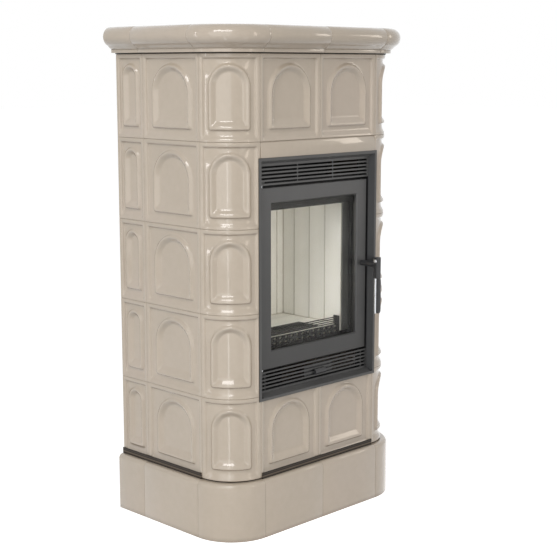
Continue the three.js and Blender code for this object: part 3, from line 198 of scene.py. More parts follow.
# Niche: distance outside the arched bead's crest, height of the sill line, depth, corner radius
NICHE_LINE = [
    (12.2, 26.4, 7.2, 8.0),
    (10.2, 28.2, 7.0, 7.5),
    (7.6, 29.6, 5.9, 7.0),
    (5.2, 30.6, 3.8, 6.5),
    (2.8, 31.8, 1.5, 6.0),
    (0.6, 33.8, 0.3, 5.5),
]
# The soft slope from the last of these rows into the niche: how far it goes in, up and back, and
# what it takes off the corner radius
SLOPE_STEPS = 9
SLOPE_IN, SLOPE_UP, SLOPE_BACK, SLOPE_TIGHTER = 17.0, 23.5, 10.2, 3.0
out, low, depth, radius = NICHE_LINE[-1]
for i in range(1, SLOPE_STEPS + 1):
    t = i / SLOPE_STEPS
    back = depth + SLOPE_BACK / 2 * (1 - math.cos(math.pi * t))
    NICHE_LINE.append((out - SLOPE_IN * t, low + SLOPE_UP * t, back, radius - SLOPE_TIGHTER * t))
NICHE_DEPTH = 10.5
NICHE_CLEAR = 0.3  # the niche's loops stay this far inside the frame band
PANEL_SHARES = (0.85, 0.65, 0.45, 0.25, 0.08, 0.0)  # loops of the niche's flat back
PANEL_LIFT = 0.6  # how far these loops draw up, as a share of the half width
PANEL_LEAST = 0.02  # half width of the innermost loop

BEAD_FOOT = 6.0  # from the arched bead's crest to its outer foot
BEAD_FOOT_TOP = 26.0  # from the tile's top edge to the same foot
FULL_SLOPE_CREST = 22.0  # a bead this much wider than its foot has the slope's full breadth

# Half widths of the arched bead's crest
FULL_CREST = 71.0
CORNER_CREST = 52.0
REAR_CREST = 27.0


def spread(n):
    """0 to 1 in n steps, closer together at both ends."""
    return 0.5 - 0.5 * np.cos(np.linspace(0, math.pi, n + 1))


def round_corners(p, half, bottom, top, radius, head):
    """Moves the points near a rectangle's corners on to a fillet."""
    corners = [(-half, bottom), (half, bottom)]
    if head:
        corners += [(-half, top), (half, top)]
    for cx, cz in corners:
        sx, sz = (1 if cx > 0 else -1), (1 if cz == top else -1)
        ox, oz = cx - sx * radius, cz - sz * radius
        dx, dz = (p[:, 0] - ox) * sx, (p[:, 1] - oz) * sz
        near = (dx > 0) & (dz > 0)
        length = np.hypot(dx[near], dz[near])
        p[near, 0] = ox + sx * dx[near] / length * radius
        p[near, 1] = oz + sz * dz[near] / length * radius
    return p


def relief_loop(half, bottom, top, spring, radius, arched):
    """One closed loop, counter-clockwise from its lower left corner, as [u, z]."""
    pts = [(-half + 2 * half * t, bottom) for t in spread(SILL_N)[:-1]]
    pts += [(half, bottom + (spring - bottom) * t) for t in spread(SIDE_N)[:-1]]
    quarter = HEAD_N // 4
    for i in range(HEAD_N):
        if arched:
            a = math.pi * i / HEAD_N
            pts.append((half * math.cos(a), spring + half * math.sin(a)))
        elif i < quarter:
            pts.append((half, spring + (top - spring) * i / quarter))
        elif i < 3 * quarter:
            pts.append((half - 2 * half * spread(2 * quarter)[i - quarter], top))
        else:
            pts.append((-half, top - (top - spring) * (i - 3 * quarter) / quarter))
    pts += [(-half, spring + (bottom - spring) * t) for t in spread(SIDE_N)[:-1]]
    p = np.array(pts)
    return round_corners(p, half, bottom, top, radius, not arched) if radius > 0 else p


def tile_points(width, crest, place):
    """Vertices and faces of one glazed relief tile from height 0, its open back included."""
    spring = TILE - BEAD_FOOT_TOP - (crest + BEAD_FOOT)
    loops = []

    def rectangle(by, low, depth, radius):
        q = relief_loop(width / 2 - by, low, TILE - by, spring, radius, False)
        loops.append((q, depth))

    for by, depth in BACK_LINE:
        rectangle(by, by, depth, 0.0)
    for ring in smooth_path(FRAME_LINE, RING_STEPS):
        rectangle(*ring)
    squeeze = min(1.0, (crest - BEAD_FOOT) / FULL_SLOPE_CREST)
    niche = smooth_path(NICHE_LINE, RING_STEPS)
    for out, low, depth, radius in niche:
        half = crest + (out if out > 0 else out * squeeze)
        if half < width / 2 - FIELD_EDGE - NICHE_CLEAR:
            loops.append((relief_loop(half, low, 0, spring, radius, True), depth))
    inner = crest + niche[-1][0] * squeeze
    low = niche[-1][1]
    for share in PANEL_SHARES:
        lift = inner * (1 - share) * PANEL_LIFT
        q = relief_loop(max(inner * share, PANEL_LEAST), low + lift, 0, spring, 0, True)
        loops.append((q, NICHE_DEPTH))
    n = len(loops[0][0])
    verts = np.zeros((len(loops), n, 3))
    for k, (q, depth) in enumerate(loops):
        verts[k, :, 0], verts[k, :, 1] = place(q[:, 0], depth)
        verts[k, :, 2] = q[:, 1]
    faces = ring_faces(len(loops), n) + end_faces(len(loops), n)[:1]
    return verts.reshape(-1, 3), faces


def on_front(centre):
    return lambda u, depth: (centre + u, np.full_like(u, depth))


def on_side(side, centre):
    return lambda u, depth: (np.full_like(u, side * (BODY_HALF - depth)), centre + side * u)


def on_corner(side):
    def place(u, depth):
        quarter = math.pi / 4 * CORNER_R
        arc_u = np.clip(u, -quarter, quarter)
        angle = arc_u / CORNER_R - math.pi / 4 + (0 if side < 0 else math.pi / 2)
        past = u - arc_u
        r = CORNER_R - depth
        x = side * ARC_X + r * np.sin(angle) + past * np.cos(angle)
        y = ARC_Y - r * np.cos(angle) + past * np.sin(angle)
        return x, y

    return place


def add_tile(name, cad_node, width, crest, place, row, cut=None):
    """One tile of a column; the rows of a column share their mesh."""
    key = name.rsplit("_", 1)[0] if cut is None else name + "_cut"
    z = TILE_BASE + row * TILE_PITCH
    shared = bpy.data.meshes.get(key)
    if shared is None:
        verts, faces = tile_points(width, crest, place)
        if cut is not None:
            verts[:, 2] = np.minimum(verts[:, 2], cut - z)
        obj = mesh_object(key, verts, faces)
        shared = obj.data
        bpy.data.objects.remove(obj)
    obj = bpy.data.objects.new(name, shared)
    bpy.context.scene.collection.objects.link(obj)
    obj.location = (0, 0, z * MM)
    ride_and_slot(obj, "root", cad_node, "glaze")


for side, label in SIDES:
    columns = (
        ("corner", f"corner_tile_{label}_{{}}", CORNER_WIDTH, CORNER_CREST, on_corner(side)),
        ("side", f"side_tile_{label}_{{}}", TILE, FULL_CREST, on_side(side, SIDE_CENTRE)),
        ("rear", f"rear_tiles_{label}", REAR_WIDTH, REAR_CREST, on_side(side, REAR_CENTRE)),
    )
    for row in range(ROWS):
        for kind, cad_node, width, crest, place in columns:
            name = f"glazed_{kind}_{label}_{row + 1}"
            add_tile(name, cad_node.format(row + 1), width, crest, place, row)
for row, cad_node, cut in ((0, "front_tiles_bottom", CUT_TOP), (ROWS - 1, "front_tiles_top", None)):
    for half, centre in (("west", -TILE_PITCH / 2), ("east", TILE_PITCH / 2)):
        name = f"glazed_front_{half}_{row + 1}"
        add_tile(name, cad_node, TILE, FULL_CREST, on_front(centre), row, cut)


# ---------------------------------------------------------------- lintel, plinth and cornice


def arc(cx, cz, r, a0, a1, n):
    out = []
    for i in range(n + 1):
        a = math.radians(a0 + (a1 - a0) * i / n)
        out.append((cx + r * math.cos(a), cz + r * math.sin(a)))
    return out


# Profiles: reach in front of the tiles' crests, height
PLINTH_REACH = 18.0
PLINTH_ROUND = 12.0
PLINTH_LEDGE = PLINTH_TOP - 20.0
PLINTH_LINE = (
    [(-7, 0), (17.2, 0)]
    + arc(PLINTH_REACH - 1.0, 1.0, 1.0, -60, 0, 3)
    + [(PLINTH_REACH, 40), (PLINTH_REACH, 90), (PLINTH_REACH, 130)]
    + arc(PLINTH_REACH - PLINTH_ROUND, PLINTH_TOP - PLINTH_ROUND, PLINTH_ROUND, 0, 90, 10)
    + [(-20, PLINTH_TOP), (-60, PLINTH_TOP), (-60, PLINTH_LEDGE), (-7, PLINTH_LEDGE)]
)
TORUS_X = 15.5
TORUS_R = 26.0
SHELF_TOP = CORNICE_TOP - 3.6
SHELF_BOTTOM = CORNICE_TOP - 18
CORNICE_FOOT = CORNICE_Z + 9
COVE = [(15.2, 9.4), (17.4, 10.8), (20.8, 13.6), (24.6, 17.2), (27.6, 19.6)]
CORNICE_LINE = (
    [(-60, CORNICE_Z), (14.2, CORNICE_Z)]
    + arc(14.0, CORNICE_Z + 1.0, 1.0, -70, 0, 3)
    + arc(14.0, CORNICE_Z + 8.0, 1.0, 0, 70, 3)
    + [(reach, CORNICE_Z + up) for reach, up in COVE]
    + arc(TORUS_X, CORNICE_TOP - TORUS_R, TORUS_R, -58, 90, 26)
    + [(0, CORNICE_TOP), (-83, CORNICE_TOP)]
    + arc(-84.0, CORNICE_TOP - 1.0, 1.0, 90, 180, 3)
    + [(-85, SHELF_TOP), (-100, SHELF_TOP), (-100, SHELF_BOTTOM), (-20, SHELF_BOTTOM)]
    + [(-20, CORNICE_FOOT), (-60, CORNICE_FOOT)]
)
LINTEL_FACE = [
    (-2.0, 1004.8), (-0.6, 1006.6), (0.6, 1010), (1.5, 1016), (2.0, 1023), (1.9, 1030),
    (1.2, 1037), (0.0, 1043), (-1.3, 1048.0), (-2.1, 1050.6), (-2.9, 1052.5),
]
LINTEL_BACK = [
    (-40, 1052.6), (-40, 1040.8), (-16, 1040.8), (-16, 1016.8), (-40, 1016.8), (-40, 1004.8),
]
LINTEL_LINE = smooth_path(LINTEL_FACE, 3).tolist() + LINTEL_BACK
LINTEL_HALF = 222.85


# A swept piece's softened ends: distance from the end and drawing in, as shares of its softness
END_LINE = ((0, 1), (0.12, 0.55), (0.45, 0.18), (1, 0))
FACE_FROM = -15  # what lies further back doesn't draw in
DRAW_IN = [1, 0.6]  # in reach and in height


def sweep(name, profile, stations, node, ends=1.2, slot="glaze"):
    """A closed profile carried along stations (x, y, outward x, outward y), its ends softened."""
    prof = np.array(profile, float)
    centre = (prof.min(0) + prof.max(0)) / 2
    soft = [(inset * ends, shrink * ends) for inset, shrink in END_LINE]
    first = np.array(stations[1][:2]) - np.array(stations[0][:2])
    last = np.array(stations[-1][:2]) - np.array(stations[-2][:2])
    first, last = first / np.linalg.norm(first), last / np.linalg.norm(last)

    def ring(x, y, ox, oy, shrink):
        p = prof.copy()
        if shrink > 0:
            face = p[:, 0] > FACE_FROM
            d = p - centre
            p[face] -= np.sign(d[face]) * np.minimum(shrink, np.abs(d[face])) * DRAW_IN
        return np.stack([x + ox * p[:, 0], y + oy * p[:, 0], p[:, 1]], axis=1)

    rows = []
    x, y, ox, oy = stations[0]
    for inset, shrink in soft:
        rows.append(ring(x + first[0] * inset, y + first[1] * inset, ox, oy, shrink))
    for station in stations[1:-1]:
        rows.append(ring(*station, 0))
    x, y, ox, oy = stations[-1]
    for inset, shrink in reversed(soft):
        rows.append(ring(x - last[0] * inset, y - last[1] * inset, ox, oy, shrink))
    flip = first[0] * stations[0][3] - first[1] * stations[0][2] < 0
    faces = ring_faces(len(rows), len(prof), flip) + end_faces(len(rows), len(prof), flip)
    obj = mesh_object(name, np.concatenate(rows), faces, sharp_angle=50)
    ride_and_slot(obj, "root", node, slot)
    return obj


def line_stations(a, b, out, n=3):
    a, b = np.array(a, float), np.array(b, float)
    return [(*(a + (b - a) * i / n), *out) for i in range(n + 1)]


def corner_stations(side, n=28):
    stations = []
    for i in range(n + 1):
        a = math.pi / 2 * i / n
        ox, oy = side * math.sin(a), -math.cos(a)
        stations.append((side * ARC_X + CORNER_R * ox, ARC_Y + CORNER_R * oy, ox, oy))
    return stations


GAP = 0.3  # between pieces of the plinth and of the cornice
REAR_JOINT_Y = 334.5
OUTWARD = (0, -1)  # out of the front
for kind, profile in (("plinth", PLINTH_LINE), ("cornice", CORNICE_LINE)):
    for half, start, end in (("west", -ARC_X + GAP, -GAP / 2), ("east", GAP / 2, ARC_X - GAP)):
        path = line_stations((start, 0), (end, 0), OUTWARD)
        sweep(f"{kind}_glazed_front_{half}", profile, path, f"{kind}_front")
    for side, label in SIDES:
        x = side * BODY_HALF
        path = corner_stations(side)
        sweep(f"{kind}_glazed_corner_{label}", profile, path, f"{kind}_corner_{label}")
        path = line_stations((x, ARC_Y + GAP), (x, REAR_JOINT_Y - GAP / 2), (side, 0))
        sweep(f"{kind}_glazed_side_{label}", profile, path, f"{kind}_side_{label}")
        path = line_stations((x, REAR_JOINT_Y + GAP / 2), (x, BODY_BACK), (side, 0))
        sweep(f"{kind}_glazed_rear_{label}", profile, path, f"{kind}_side_{label}")
path = line_stations((-LINTEL_HALF, 0), (LINTEL_HALF, 0), OUTWARD)
sweep("lintel_glazed", LINTEL_LINE, path, "lintel_tile")


# ---------------------------------------------------------------- joints, trim and handle


def prism(name, outline, low, high, node, body, slot):
    """An upright bar: a closed outline of (x, y), counter-clockwise from above, low to high."""
    n = len(outline)
    verts = [(x, y, z) for z in (low, high) for x, y in outline]
    obj = mesh_object(name, verts, end_faces(2, n) + ring_faces(2, n), sharp_angle=30)
    ride_and_slot(obj, body, node, slot)
    return obj


EDGE_ANGLE = 35  # degrees, from which an edge is rounded


def soften(obj, width, segments=2):
    modifier = obj.modifiers.new("edges", "BEVEL")
    modifier.width = width * MM
    modifier.segments = segments
    modifier.limit_method = "ANGLE"
    modifier.angle_limit = math.radians(EDGE_ANGLE)
    modifier.harden_normals = True


# Mortar in the joints between the tiles, just behind their rounded edges
MORTAR_FRONT = -0.9
MORTAR_BACK = -9.0
MORTAR_HALF = 0.17
MORTAR_LINE = [
    (MORTAR_BACK, -MORTAR_HALF), (MORTAR_FRONT, -MORTAR_HALF),
    (MORTAR_FRONT, MORTAR_HALF), (MORTAR_BACK, MORTAR_HALF),
]
FRONT_JOINT_X = 223.0
SIDE_JOINTS = (111.5, REAR_JOINT_Y)
SIDE_START = 120  # behind the corner's arc, where a path's straight stretch begins
HALF_JOINT = 0.15
TILES_TOP = TILE_BASE + ROWS * TILE_PITCH - 0.3
mortar = []


def mortar_upright(label, x, y, out, low, high):
    """A filled joint at (x, y), where out is the outward direction."""
    (ox, oy), (tx, ty) = out, (-out[1], out[0])
    outline = [(x + ox * d + tx * t, y + oy * d + ty * t) for d, t in MORTAR_LINE]
    mortar.append(prism(f"mortar_{label}", outline, low, high, None, "root", "fireclay"))


def mortar_level(label, stations, z):
    line = [(d, z + t) for d, t in MORTAR_LINE]
    obj = sweep(f"mortar_{label}", line, stations, None, ends=0.1, slot="fireclay")
    mortar.append(obj)


TOP_COURSE = TILE_BASE + 4 * TILE_PITCH
mortar_upright("front_1", 0, 0, OUTWARD, TILE_BASE, CUT_TOP)
mortar_upright("front_5", 0, 0, OUTWARD, TOP_COURSE, TILES_TOP)
for side, label in SIDES:
    x = side * FRONT_JOINT_X
    mortar_upright(f"corner_{label}_1", x, 0, OUTWARD, TILE_BASE, CUT_TOP)
    mortar_upright(f"corner_{label}_5", x, 0, OUTWARD, LINTEL_BOTTOM, TILES_TOP)
    x = side * BODY_HALF
    for n, y in enumerate(SIDE_JOINTS):
        mortar_upright(f"side_{label}_{n}", x, y, (side, 0), TILE_BASE, TILES_TOP)
    path = [(side * FRONT_JOINT_X, 0, *OUTWARD)] + corner_stations(side)
    path += line_stations((x, SIDE_START), (x, BODY_BACK), (side, 0), 4)
    for row in range(1, ROWS):
        mortar_level(f"level_{label}_{row}", path, TILE_BASE + row * TILE_PITCH - HALF_JOINT)
path = line_stations((-FRONT_JOINT_X, 0), (FRONT_JOINT_X, 0), OUTWARD)
mortar_level("level_front", path, TOP_COURSE - HALF_JOINT)

# A steel strip in the gap between the tiles and the cornice; its dark paint is partly the steel's
# own colour and partly a painted shadow of the gap
EDGE_LOW = TILES_TOP + 0.2
EDGE_HIGH = CORNICE_Z - 0.1
EDGE_REACH = 1.2
EDGE_END = ARC_X - 1.5
around = (
    line_stations((-BODY_HALF, BODY_BACK), (-BODY_HALF, SIDE_START), (-1, 0), 4)
    + corner_stations(-1)[::-1]
    + line_stations((-EDGE_END, 0), (EDGE_END, 0), OUTWARD)
    + corner_stations(1)
    + line_stations((BODY_HALF, SIDE_START), (BODY_HALF, BODY_BACK), (1, 0), 4)
)
edge_line = [(-12, EDGE_LOW), (EDGE_REACH, EDGE_LOW), (EDGE_REACH, EDGE_HIGH), (-12, EDGE_HIGH)]
cornice_gap_shadow_strip = sweep("cornice_gap_shadow_strip", edge_line, around, None, ends=0.2, slot="sheet_steel")

# Steel angles that hold the side linings' front edges
ANGLE_LINE = [
    (163.6, 66.0), (192.6, 66.0), (192.6, 84.0), (190.4, 84.0), (190.4, 69.6), (163.6, 69.6),
]
ANGLE_LOW, ANGLE_HIGH = 495.8, 867.6
lining_angles = []
for side, label in SIDES:
    outline = ANGLE_LINE if side > 0 else [(-x, y) for x, y in reversed(ANGLE_LINE)]
    name = f"lining_angle_{label}"
    obj = prism(name, outline, ANGLE_LOW, ANGLE_HIGH, None, "root", "sheet_steel")
    soften(obj, 0.5)
    lining_angles.append(obj)

# Handle: a bright bar on the left of a dark ribbed grip, and the hub's bright screw
GRIP_X = (187.0, 202.0)
GRIP_Y = (-50.0, -37.2)
GRIP_LOW, GRIP_HIGH = 556.7, 656.7
GRIP_SWELL = 0.08
RIBS = 14
RIB_STEPS = 6
RIB_DEPTH = 0.07
OVAL_N = 24
BAR_X, BAR_Y, BAR_RADIUS = 186.1, -40.6, 3.6
BAR_ABOVE = 0.6  # above the grip's top


def oval(cx, cy, rx, ry, squareness):
    """A closed outline between an ellipse (1) and a rectangle (towards 0), counter-clockwise."""
    out = []
    for j in range(OVAL_N):
        ca, sa = math.cos(2 * math.pi * j / OVAL_N), math.sin(2 * math.pi * j / OVAL_N)
        x = cx + rx * math.copysign(abs(ca) ** squareness, ca)
        y = cy + ry * math.copysign(abs(sa) ** squareness, sa)
        out.append((x, y))
    return out


def ribbed_grip():
    (x0, x1), (y0, y1) = GRIP_X, GRIP_Y
    rows = []
    for i in range(RIBS * RIB_STEPS + 1):
        t = i / (RIBS * RIB_STEPS)
        swell = 1 - GRIP_SWELL + GRIP_SWELL * math.sin(3 * math.pi * t) ** 2
        groove = 1 - RIB_DEPTH * (0.5 - 0.5 * math.cos(2 * math.pi * i / RIB_STEPS))
        end = min(1.0, 0.45 + 14 * min(t, 1 - t)) ** 0.5
        k = swell * groove * end
        outline = oval((x0 + x1) / 2, (y0 + y1) / 2, (x1 - x0) / 2 * k, (y1 - y0) / 2 * k, 0.45)
        rows.append([(x, y, GRIP_LOW + (GRIP_HIGH - GRIP_LOW) * t) for x, y in outline])
    faces = ring_faces(len(rows), OVAL_N) + end_faces(len(rows), OVAL_N)
    obj = mesh_object("grip_ribbed", np.array(rows).reshape(-1, 3), faces, sharp_angle=60)
    ride_and_slot(obj, "handle", "handle_grip", "dark_steel")


ribbed_grip()
outline = oval(BAR_X, BAR_Y, BAR_RADIUS, BAR_RADIUS, 0.9)
bar_top = GRIP_HIGH + BAR_ABOVE
bar = prism("grip_bar", outline, GRIP_LOW, bar_top, "handle_grip", "handle", "bright_steel")
soften(bar, 0.8, 3)

# The screw: its centre on the hub, and radius and height along its axis, which points to the left
SCREW_X, SCREW_Y, SCREW_Z = 182.2, -42.0, 706.0
SCREW_N = 32
SCREW = [
    (0.6, -1.0), (5.2, -1.0), (5.2, 0.6), (4.7, 1.3),
    (3.4, 1.9), (2.4, 2.0), (2.2, 1.2), (0.3, 1.2),
]
rows = []
for r, h in SCREW:
    for j in range(SCREW_N):
        a = 2 * math.pi * j / SCREW_N
        rows.append((SCREW_X - h, SCREW_Y + r * math.cos(a), SCREW_Z - r * math.sin(a)))
faces = ring_faces(len(SCREW), SCREW_N) + end_faces(len(SCREW), SCREW_N)
obj = mesh_object("hub_screw", rows, faces, sharp_angle=40)
ride_and_slot(obj, "handle", None, "bright_steel")


BEVELS = {  # rounded edges of the CAD model's own pieces
    "insert_frame": 0.9, "upper_louvre": 0.5, "lower_louvre": 0.5, "air_slider": 0.7,
    "door_frame": 1.0, "handle_shaft": 0.5, "handle_hub": 1.0, "log_fence": 0.4,
    "hearth_floor": 1.0, "grate": 0.5, "baffle_plate": 1.0, "firebox_lining_left": 1.4,
    "firebox_lining_right": 1.4, "firebox_lining_back": 1.4, "steel_frame": 0.5,
    "flue_collar": 0.6, "top_plate": 0.5, "back_panel": 0.4, "ash_pan": 0.4, "firebox_shell": 0.6,
}
for name, width in BEVELS.items():
    soften(frame["nodes"][name], width)


# ---------------------------------------------------------------- materials


def new_material(name):
    mat = bpy.data.materials.new(name)
    mat.use_nodes = True
    tree = mat.node_tree
    shader = tree.nodes["Principled BSDF"]
    return mat, tree, shader


def node(tree, kind, **values):
    n = tree.nodes.new(kind)
    for key, value in values.items():
        if key in n.inputs:
            n.inputs[key].default_value = value
        else:
            setattr(n, key, value)
    return n


def position(tree):
    return node(tree, "ShaderNodeTexCoord").outputs["Object"]


def noise(tree, scale, detail=3.0, rough=0.5, vector=None):
    """Blotches, about as many to a metre as scale says."""
    n = node(tree, "ShaderNodeTexNoise", Scale=scale, Detail=detail, Roughness=rough)
    tree.links.new(vector or position(tree), n.inputs["Vector"])
    return n.outputs["Fac"]


def separate(tree, vector):
    n = node(tree, "ShaderNodeSeparateXYZ")
    tree.links.new(vector, n.inputs[0])
    return n.outputs


def map_range(tree, value, low, high, to_low=0.0, to_high=1.0, clamp=True):
    n = node(tree, "ShaderNodeMapRange", clamp=clamp)
    tree.links.new(value, n.inputs["Value"])
    n.inputs["From Min"].default_value, n.inputs["From Max"].default_value = low, high
    n.inputs["To Min"].default_value, n.inputs["To Max"].default_value = to_low, to_high
    return n.outputs["Result"]


def along(tree, axis, low, high, clamp=True):
    """0 to 1 between two places on an axis of the frame."""
    return map_range(tree, separate(tree, position(tree))[axis], low, high, clamp=clamp)


def calculate(tree, operation, a, b=None):
    n = node(tree, "ShaderNodeMath", operation=operation)
    for socket, value in zip(n.inputs, (a, b)):
        if isinstance(value, float):
            socket.default_value = value
        elif value is not None:
            tree.links.new(value, socket)
    return n.outputs[0]


def occlusion(tree, distance):
    """1 in the open, towards 0 in crevices narrower than distance."""
    n = node(tree, "ShaderNodeAmbientOcclusion", Distance=distance)
    n.samples = 8
    return n.outputs["AO"]


def ramp(tree, fac, stops):
    """Colours or grey values at stops from 0 to 1."""
    n = tree.nodes.new("ShaderNodeValToRGB")
    tree.links.new(fac, n.inputs["Fac"])
    elements = n.color_ramp.elements
    while len(elements) < len(stops):
        elements.new(0.5)
    for e, (at, colour) in zip(elements, stops):
        e.position = at
        e.color = (*colour, 1) if not isinstance(colour, float) else (colour, colour, colour, 1)
    return n.outputs["Color"]


def mix(tree, fac, a, b, blend="MIX"):
    n = tree.nodes.new("ShaderNodeMix")
    n.data_type = "RGBA"
    n.blend_type = blend
    for socket, value in ((n.inputs[0], fac), (n.inputs[6], a), (n.inputs[7], b)):
        if isinstance(value, (int, float)):
            socket.default_value = value
        elif isinstance(value, tuple):
            socket.default_value = (*value, 1)
        else:
            tree.links.new(value, socket)
    return n.outputs[2]


def finish_surface(tree, shader, colour, rough, **values):
    """Links or sets the base colour, the roughness and further sockets of the shader."""
    for key, value in {"Base Color": colour, "Roughness": rough, **values}.items():
        socket = shader.inputs[key.replace("_", " ")]
        if isinstance(value, float):
            socket.default_value = value
        else:
            tree.links.new(value, socket)


def bump(tree, shader, height, strength, distance):
    n = node(tree, "ShaderNodeBump", Strength=strength, Distance=distance)
    tree.links.new(height, n.inputs["Height"])
    tree.links.new(n.outputs["Normal"], shader.inputs["Normal"])


def paint_grain(tree, shader, strength=0.25):
    bump(tree, shader, noise(tree, 1400.0, 2.0, 0.6), strength, 0.0004)


def srgb(r, g, b):
    def lin(c):
        c /= 255
        return c / 12.92 if c <= 0.04045 else ((c + 0.055) / 1.055) ** 2.4

    return (lin(r), lin(g), lin(b))


def glaze_material(name, shade=1.0):
    """The tiles' glaze, with painted shade in crevices that face down and on faces turned down."""
    mat, tree, shader = new_material(name)
    broad = noise(tree, 3.1, 2.0, 0.5)
    fine = noise(tree, 42.0, 4.0, 0.6)
    tones = [(0.3, srgb(188, 175, 158)), (0.5, srgb(192, 179, 162)), (0.7, srgb(196, 182, 167))]
    specks = [(0.35, srgb(184, 171, 154)), (0.7, srgb(197, 184, 168))]
    colour = mix(tree, 0.25, ramp(tree, broad, tones), ramp(tree, fine, specks))
    # painted shade: darker in crevices, most where they face down
    shade_depth = ramp(tree, occlusion(tree, 0.018), [(0.25, 1.0), (0.88, 0.0)])
    normal = node(tree, "ShaderNodeNewGeometry").outputs["Normal"]
    tilt = separate(tree, normal)["Z"]
    facing_down = map_range(tree, tilt, -0.55, 0.4, 1.0, 0.12)
    crevice_shade = calculate(tree, "MULTIPLY", shade_depth, facing_down)
    colour = mix(tree, crevice_shade, colour, srgb(104, 86, 68))
    # painted shade on faces turned downwards
    underside_shade_stops = [(0.1, 0.74 * shade), (0.42, 0.97 * shade), (0.5, shade)]
    underside_shade = ramp(tree, map_range(tree, tilt, -1.0, 1.0), underside_shade_stops)
    colour = mix(tree, 1.0, colour, underside_shade, "MULTIPLY")
    finish_surface(
        tree, shader, colour, 0.22, Specular_IOR_Level=0.3, Coat_Weight=0.85, Coat_Roughness=0.025
    )
    waves = noise(tree, 16.0, 2.0, 0.45)
    bump(tree, shader, waves, 0.10, 0.004)
    return mat


PAINT_SPREAD = 0.12  # how far the paint's tone strays to either side
LOW_SHADE_TONE = 0.42  # tone at the lower of the two heights of a paint with painted shade


def paint_material(name, colour, rough, grain=0.25, shade_heights=None):
    """Painted steel; given two heights, it is darker towards the bottom with painted shade and
    rises between them to its full tone.
    """
    mat, tree, shader = new_material(name)
    dark = tuple(c * (1 - PAINT_SPREAD) for c in colour)
    light = tuple(c * (1 + PAINT_SPREAD) for c in colour)
    tone = ramp(tree, noise(tree, 5.0, 3.0, 0.5), [(0.3, dark), (0.7, light)])
    # painted shade: the paint darker towards the bottom
    if shade_heights:
        painted_shade = ramp(tree, along(tree, "Z", *shade_heights), [(0.0, LOW_SHADE_TONE), (1.0, 1.0)])
        tone = mix(tree, 1.0, tone, painted_shade, "MULTIPLY")
    sheen = ramp(tree, noise(tree, 70.0, 4.0, 0.6), [(0.3, rough - 0.06), (0.7, rough + 0.06)])
    finish_surface(tree, shader, tone, sheen, Specular_IOR_Level=0.5)
    paint_grain(tree, shader, grain)
    return mat


def metal_material(name, colour, rough):
    """Bare metal, brushed along the frame's height."""
    mat, tree, shader = new_material(name)
    mapping = node(tree, "ShaderNodeMapping", Scale=(1, 1, 60))
    tree.links.new(position(tree), mapping.inputs["Vector"])
    brushed = noise(tree, 60.0, 3.0, 0.6, mapping.outputs["Vector"])
    tone = ramp(tree, brushed, [(0.3, tuple(c * 0.88 for c in colour)), (0.7, colour)])
    sheen = ramp(tree, brushed, [(0.3, rough - 0.05), (0.7, rough + 0.08)])
    finish_surface(tree, shader, tone, sheen, Metallic=1.0)
    bump(tree, shader, brushed, 0.08, 0.0003)
    return mat


BOARD = 0.061  # breadth of the side linings' boards
BOARDS_FROM = -0.143


def lining_material():
    """Pale fireclay boards, with painted shade in their joints and towards one edge of each board.
    """
    mat, tree, shader = new_material("fireclay")
    broad = noise(tree, 6.0, 3.0, 0.55)
    grit = noise(tree, 320.0, 4.0, 0.65)
    base = ramp(tree, broad, [(0.3, srgb(237, 235, 229)), (0.7, srgb(244, 243, 238))])
    speck = ramp(tree, grit, [(0.4, srgb(228, 224, 214)), (0.62, srgb(246, 245, 241))])
    colour = mix(tree, 0.3, base, speck)
    # painted shade in the board joints
    joint = ramp(tree, occlusion(tree, 0.006), [(0.45, 1.0), (0.9, 0.0)])
    colour = mix(tree, joint, colour, srgb(186, 179, 164))
    # painted shade across each board, darker at one edge
    boards = along(tree, "Y", BOARDS_FROM, BOARDS_FROM + BOARD, clamp=False)
    across = calculate(tree, "FRACT", boards)
    step = ramp(tree, across, [(0.0, 0.88), (0.12, 0.94), (0.5, 1.0), (0.85, 0.98)])
    finish_surface(tree, shader, mix(tree, 1.0, colour, step, "MULTIPLY"), 0.92)
    bump(tree, shader, grit, 0.25, 0.0008)
    return mat


def rope_material():
    mat, tree, shader = new_material("rope")
    wave = node(tree, "ShaderNodeTexWave", Scale=260.0, Distortion=2.0)
    tree.links.new(position(tree), wave.inputs["Vector"])
    strands = wave.outputs["Fac"]
    tone = ramp(tree, strands, [(0.2, srgb(36, 36, 35)), (0.8, srgb(70, 69, 66))])
    finish_surface(tree, shader, tone, 0.95)
    bump(tree, shader, strands, 0.5, 0.001)
    return mat


def glass_material():
    """A faintly sooted pane that casts no shadow of its own."""
    mat, tree, shader = new_material("pane")
    soot = noise(tree, 7.0, 4.0, 0.6)
    tone = ramp(tree, soot, [(0.35, srgb(247, 247, 243)), (0.75, srgb(253, 253, 252))])
    sheen = ramp(tree, soot, [(0.35, 0.015), (0.75, 0.04)])
    finish_surface(tree, shader, tone, sheen, Transmission_Weight=1.0, IOR=1.12)
    clear = node(tree, "ShaderNodeBsdfTransparent")
    light_path = node(tree, "ShaderNodeLightPath")
    through = node(tree, "ShaderNodeMixShader")
    tree.links.new(light_path.outputs["Is Shadow Ray"], through.inputs[0])
    tree.links.new(shader.outputs[0], through.inputs[1])
    tree.links.new(clear.outputs[0], through.inputs[2])
    tree.links.new(through.outputs[0], tree.nodes["Material Output"].inputs["Surface"])
    return mat


def mortar_material():
    mat, tree, shader = new_material("mortar")
    grit = noise(tree, 400.0, 4.0, 0.6)
    tone = ramp(tree, grit, [(0.35, srgb(168, 154, 136)), (0.65, srgb(186, 173, 156))])
    finish_surface(tree, shader, tone, 0.9)
    bump(tree, shader, grit, 0.3, 0.0004)
    return mat


STRIP_Z = (0.1586, 0.1748)  # the steel frame's upturned edge above the plinth


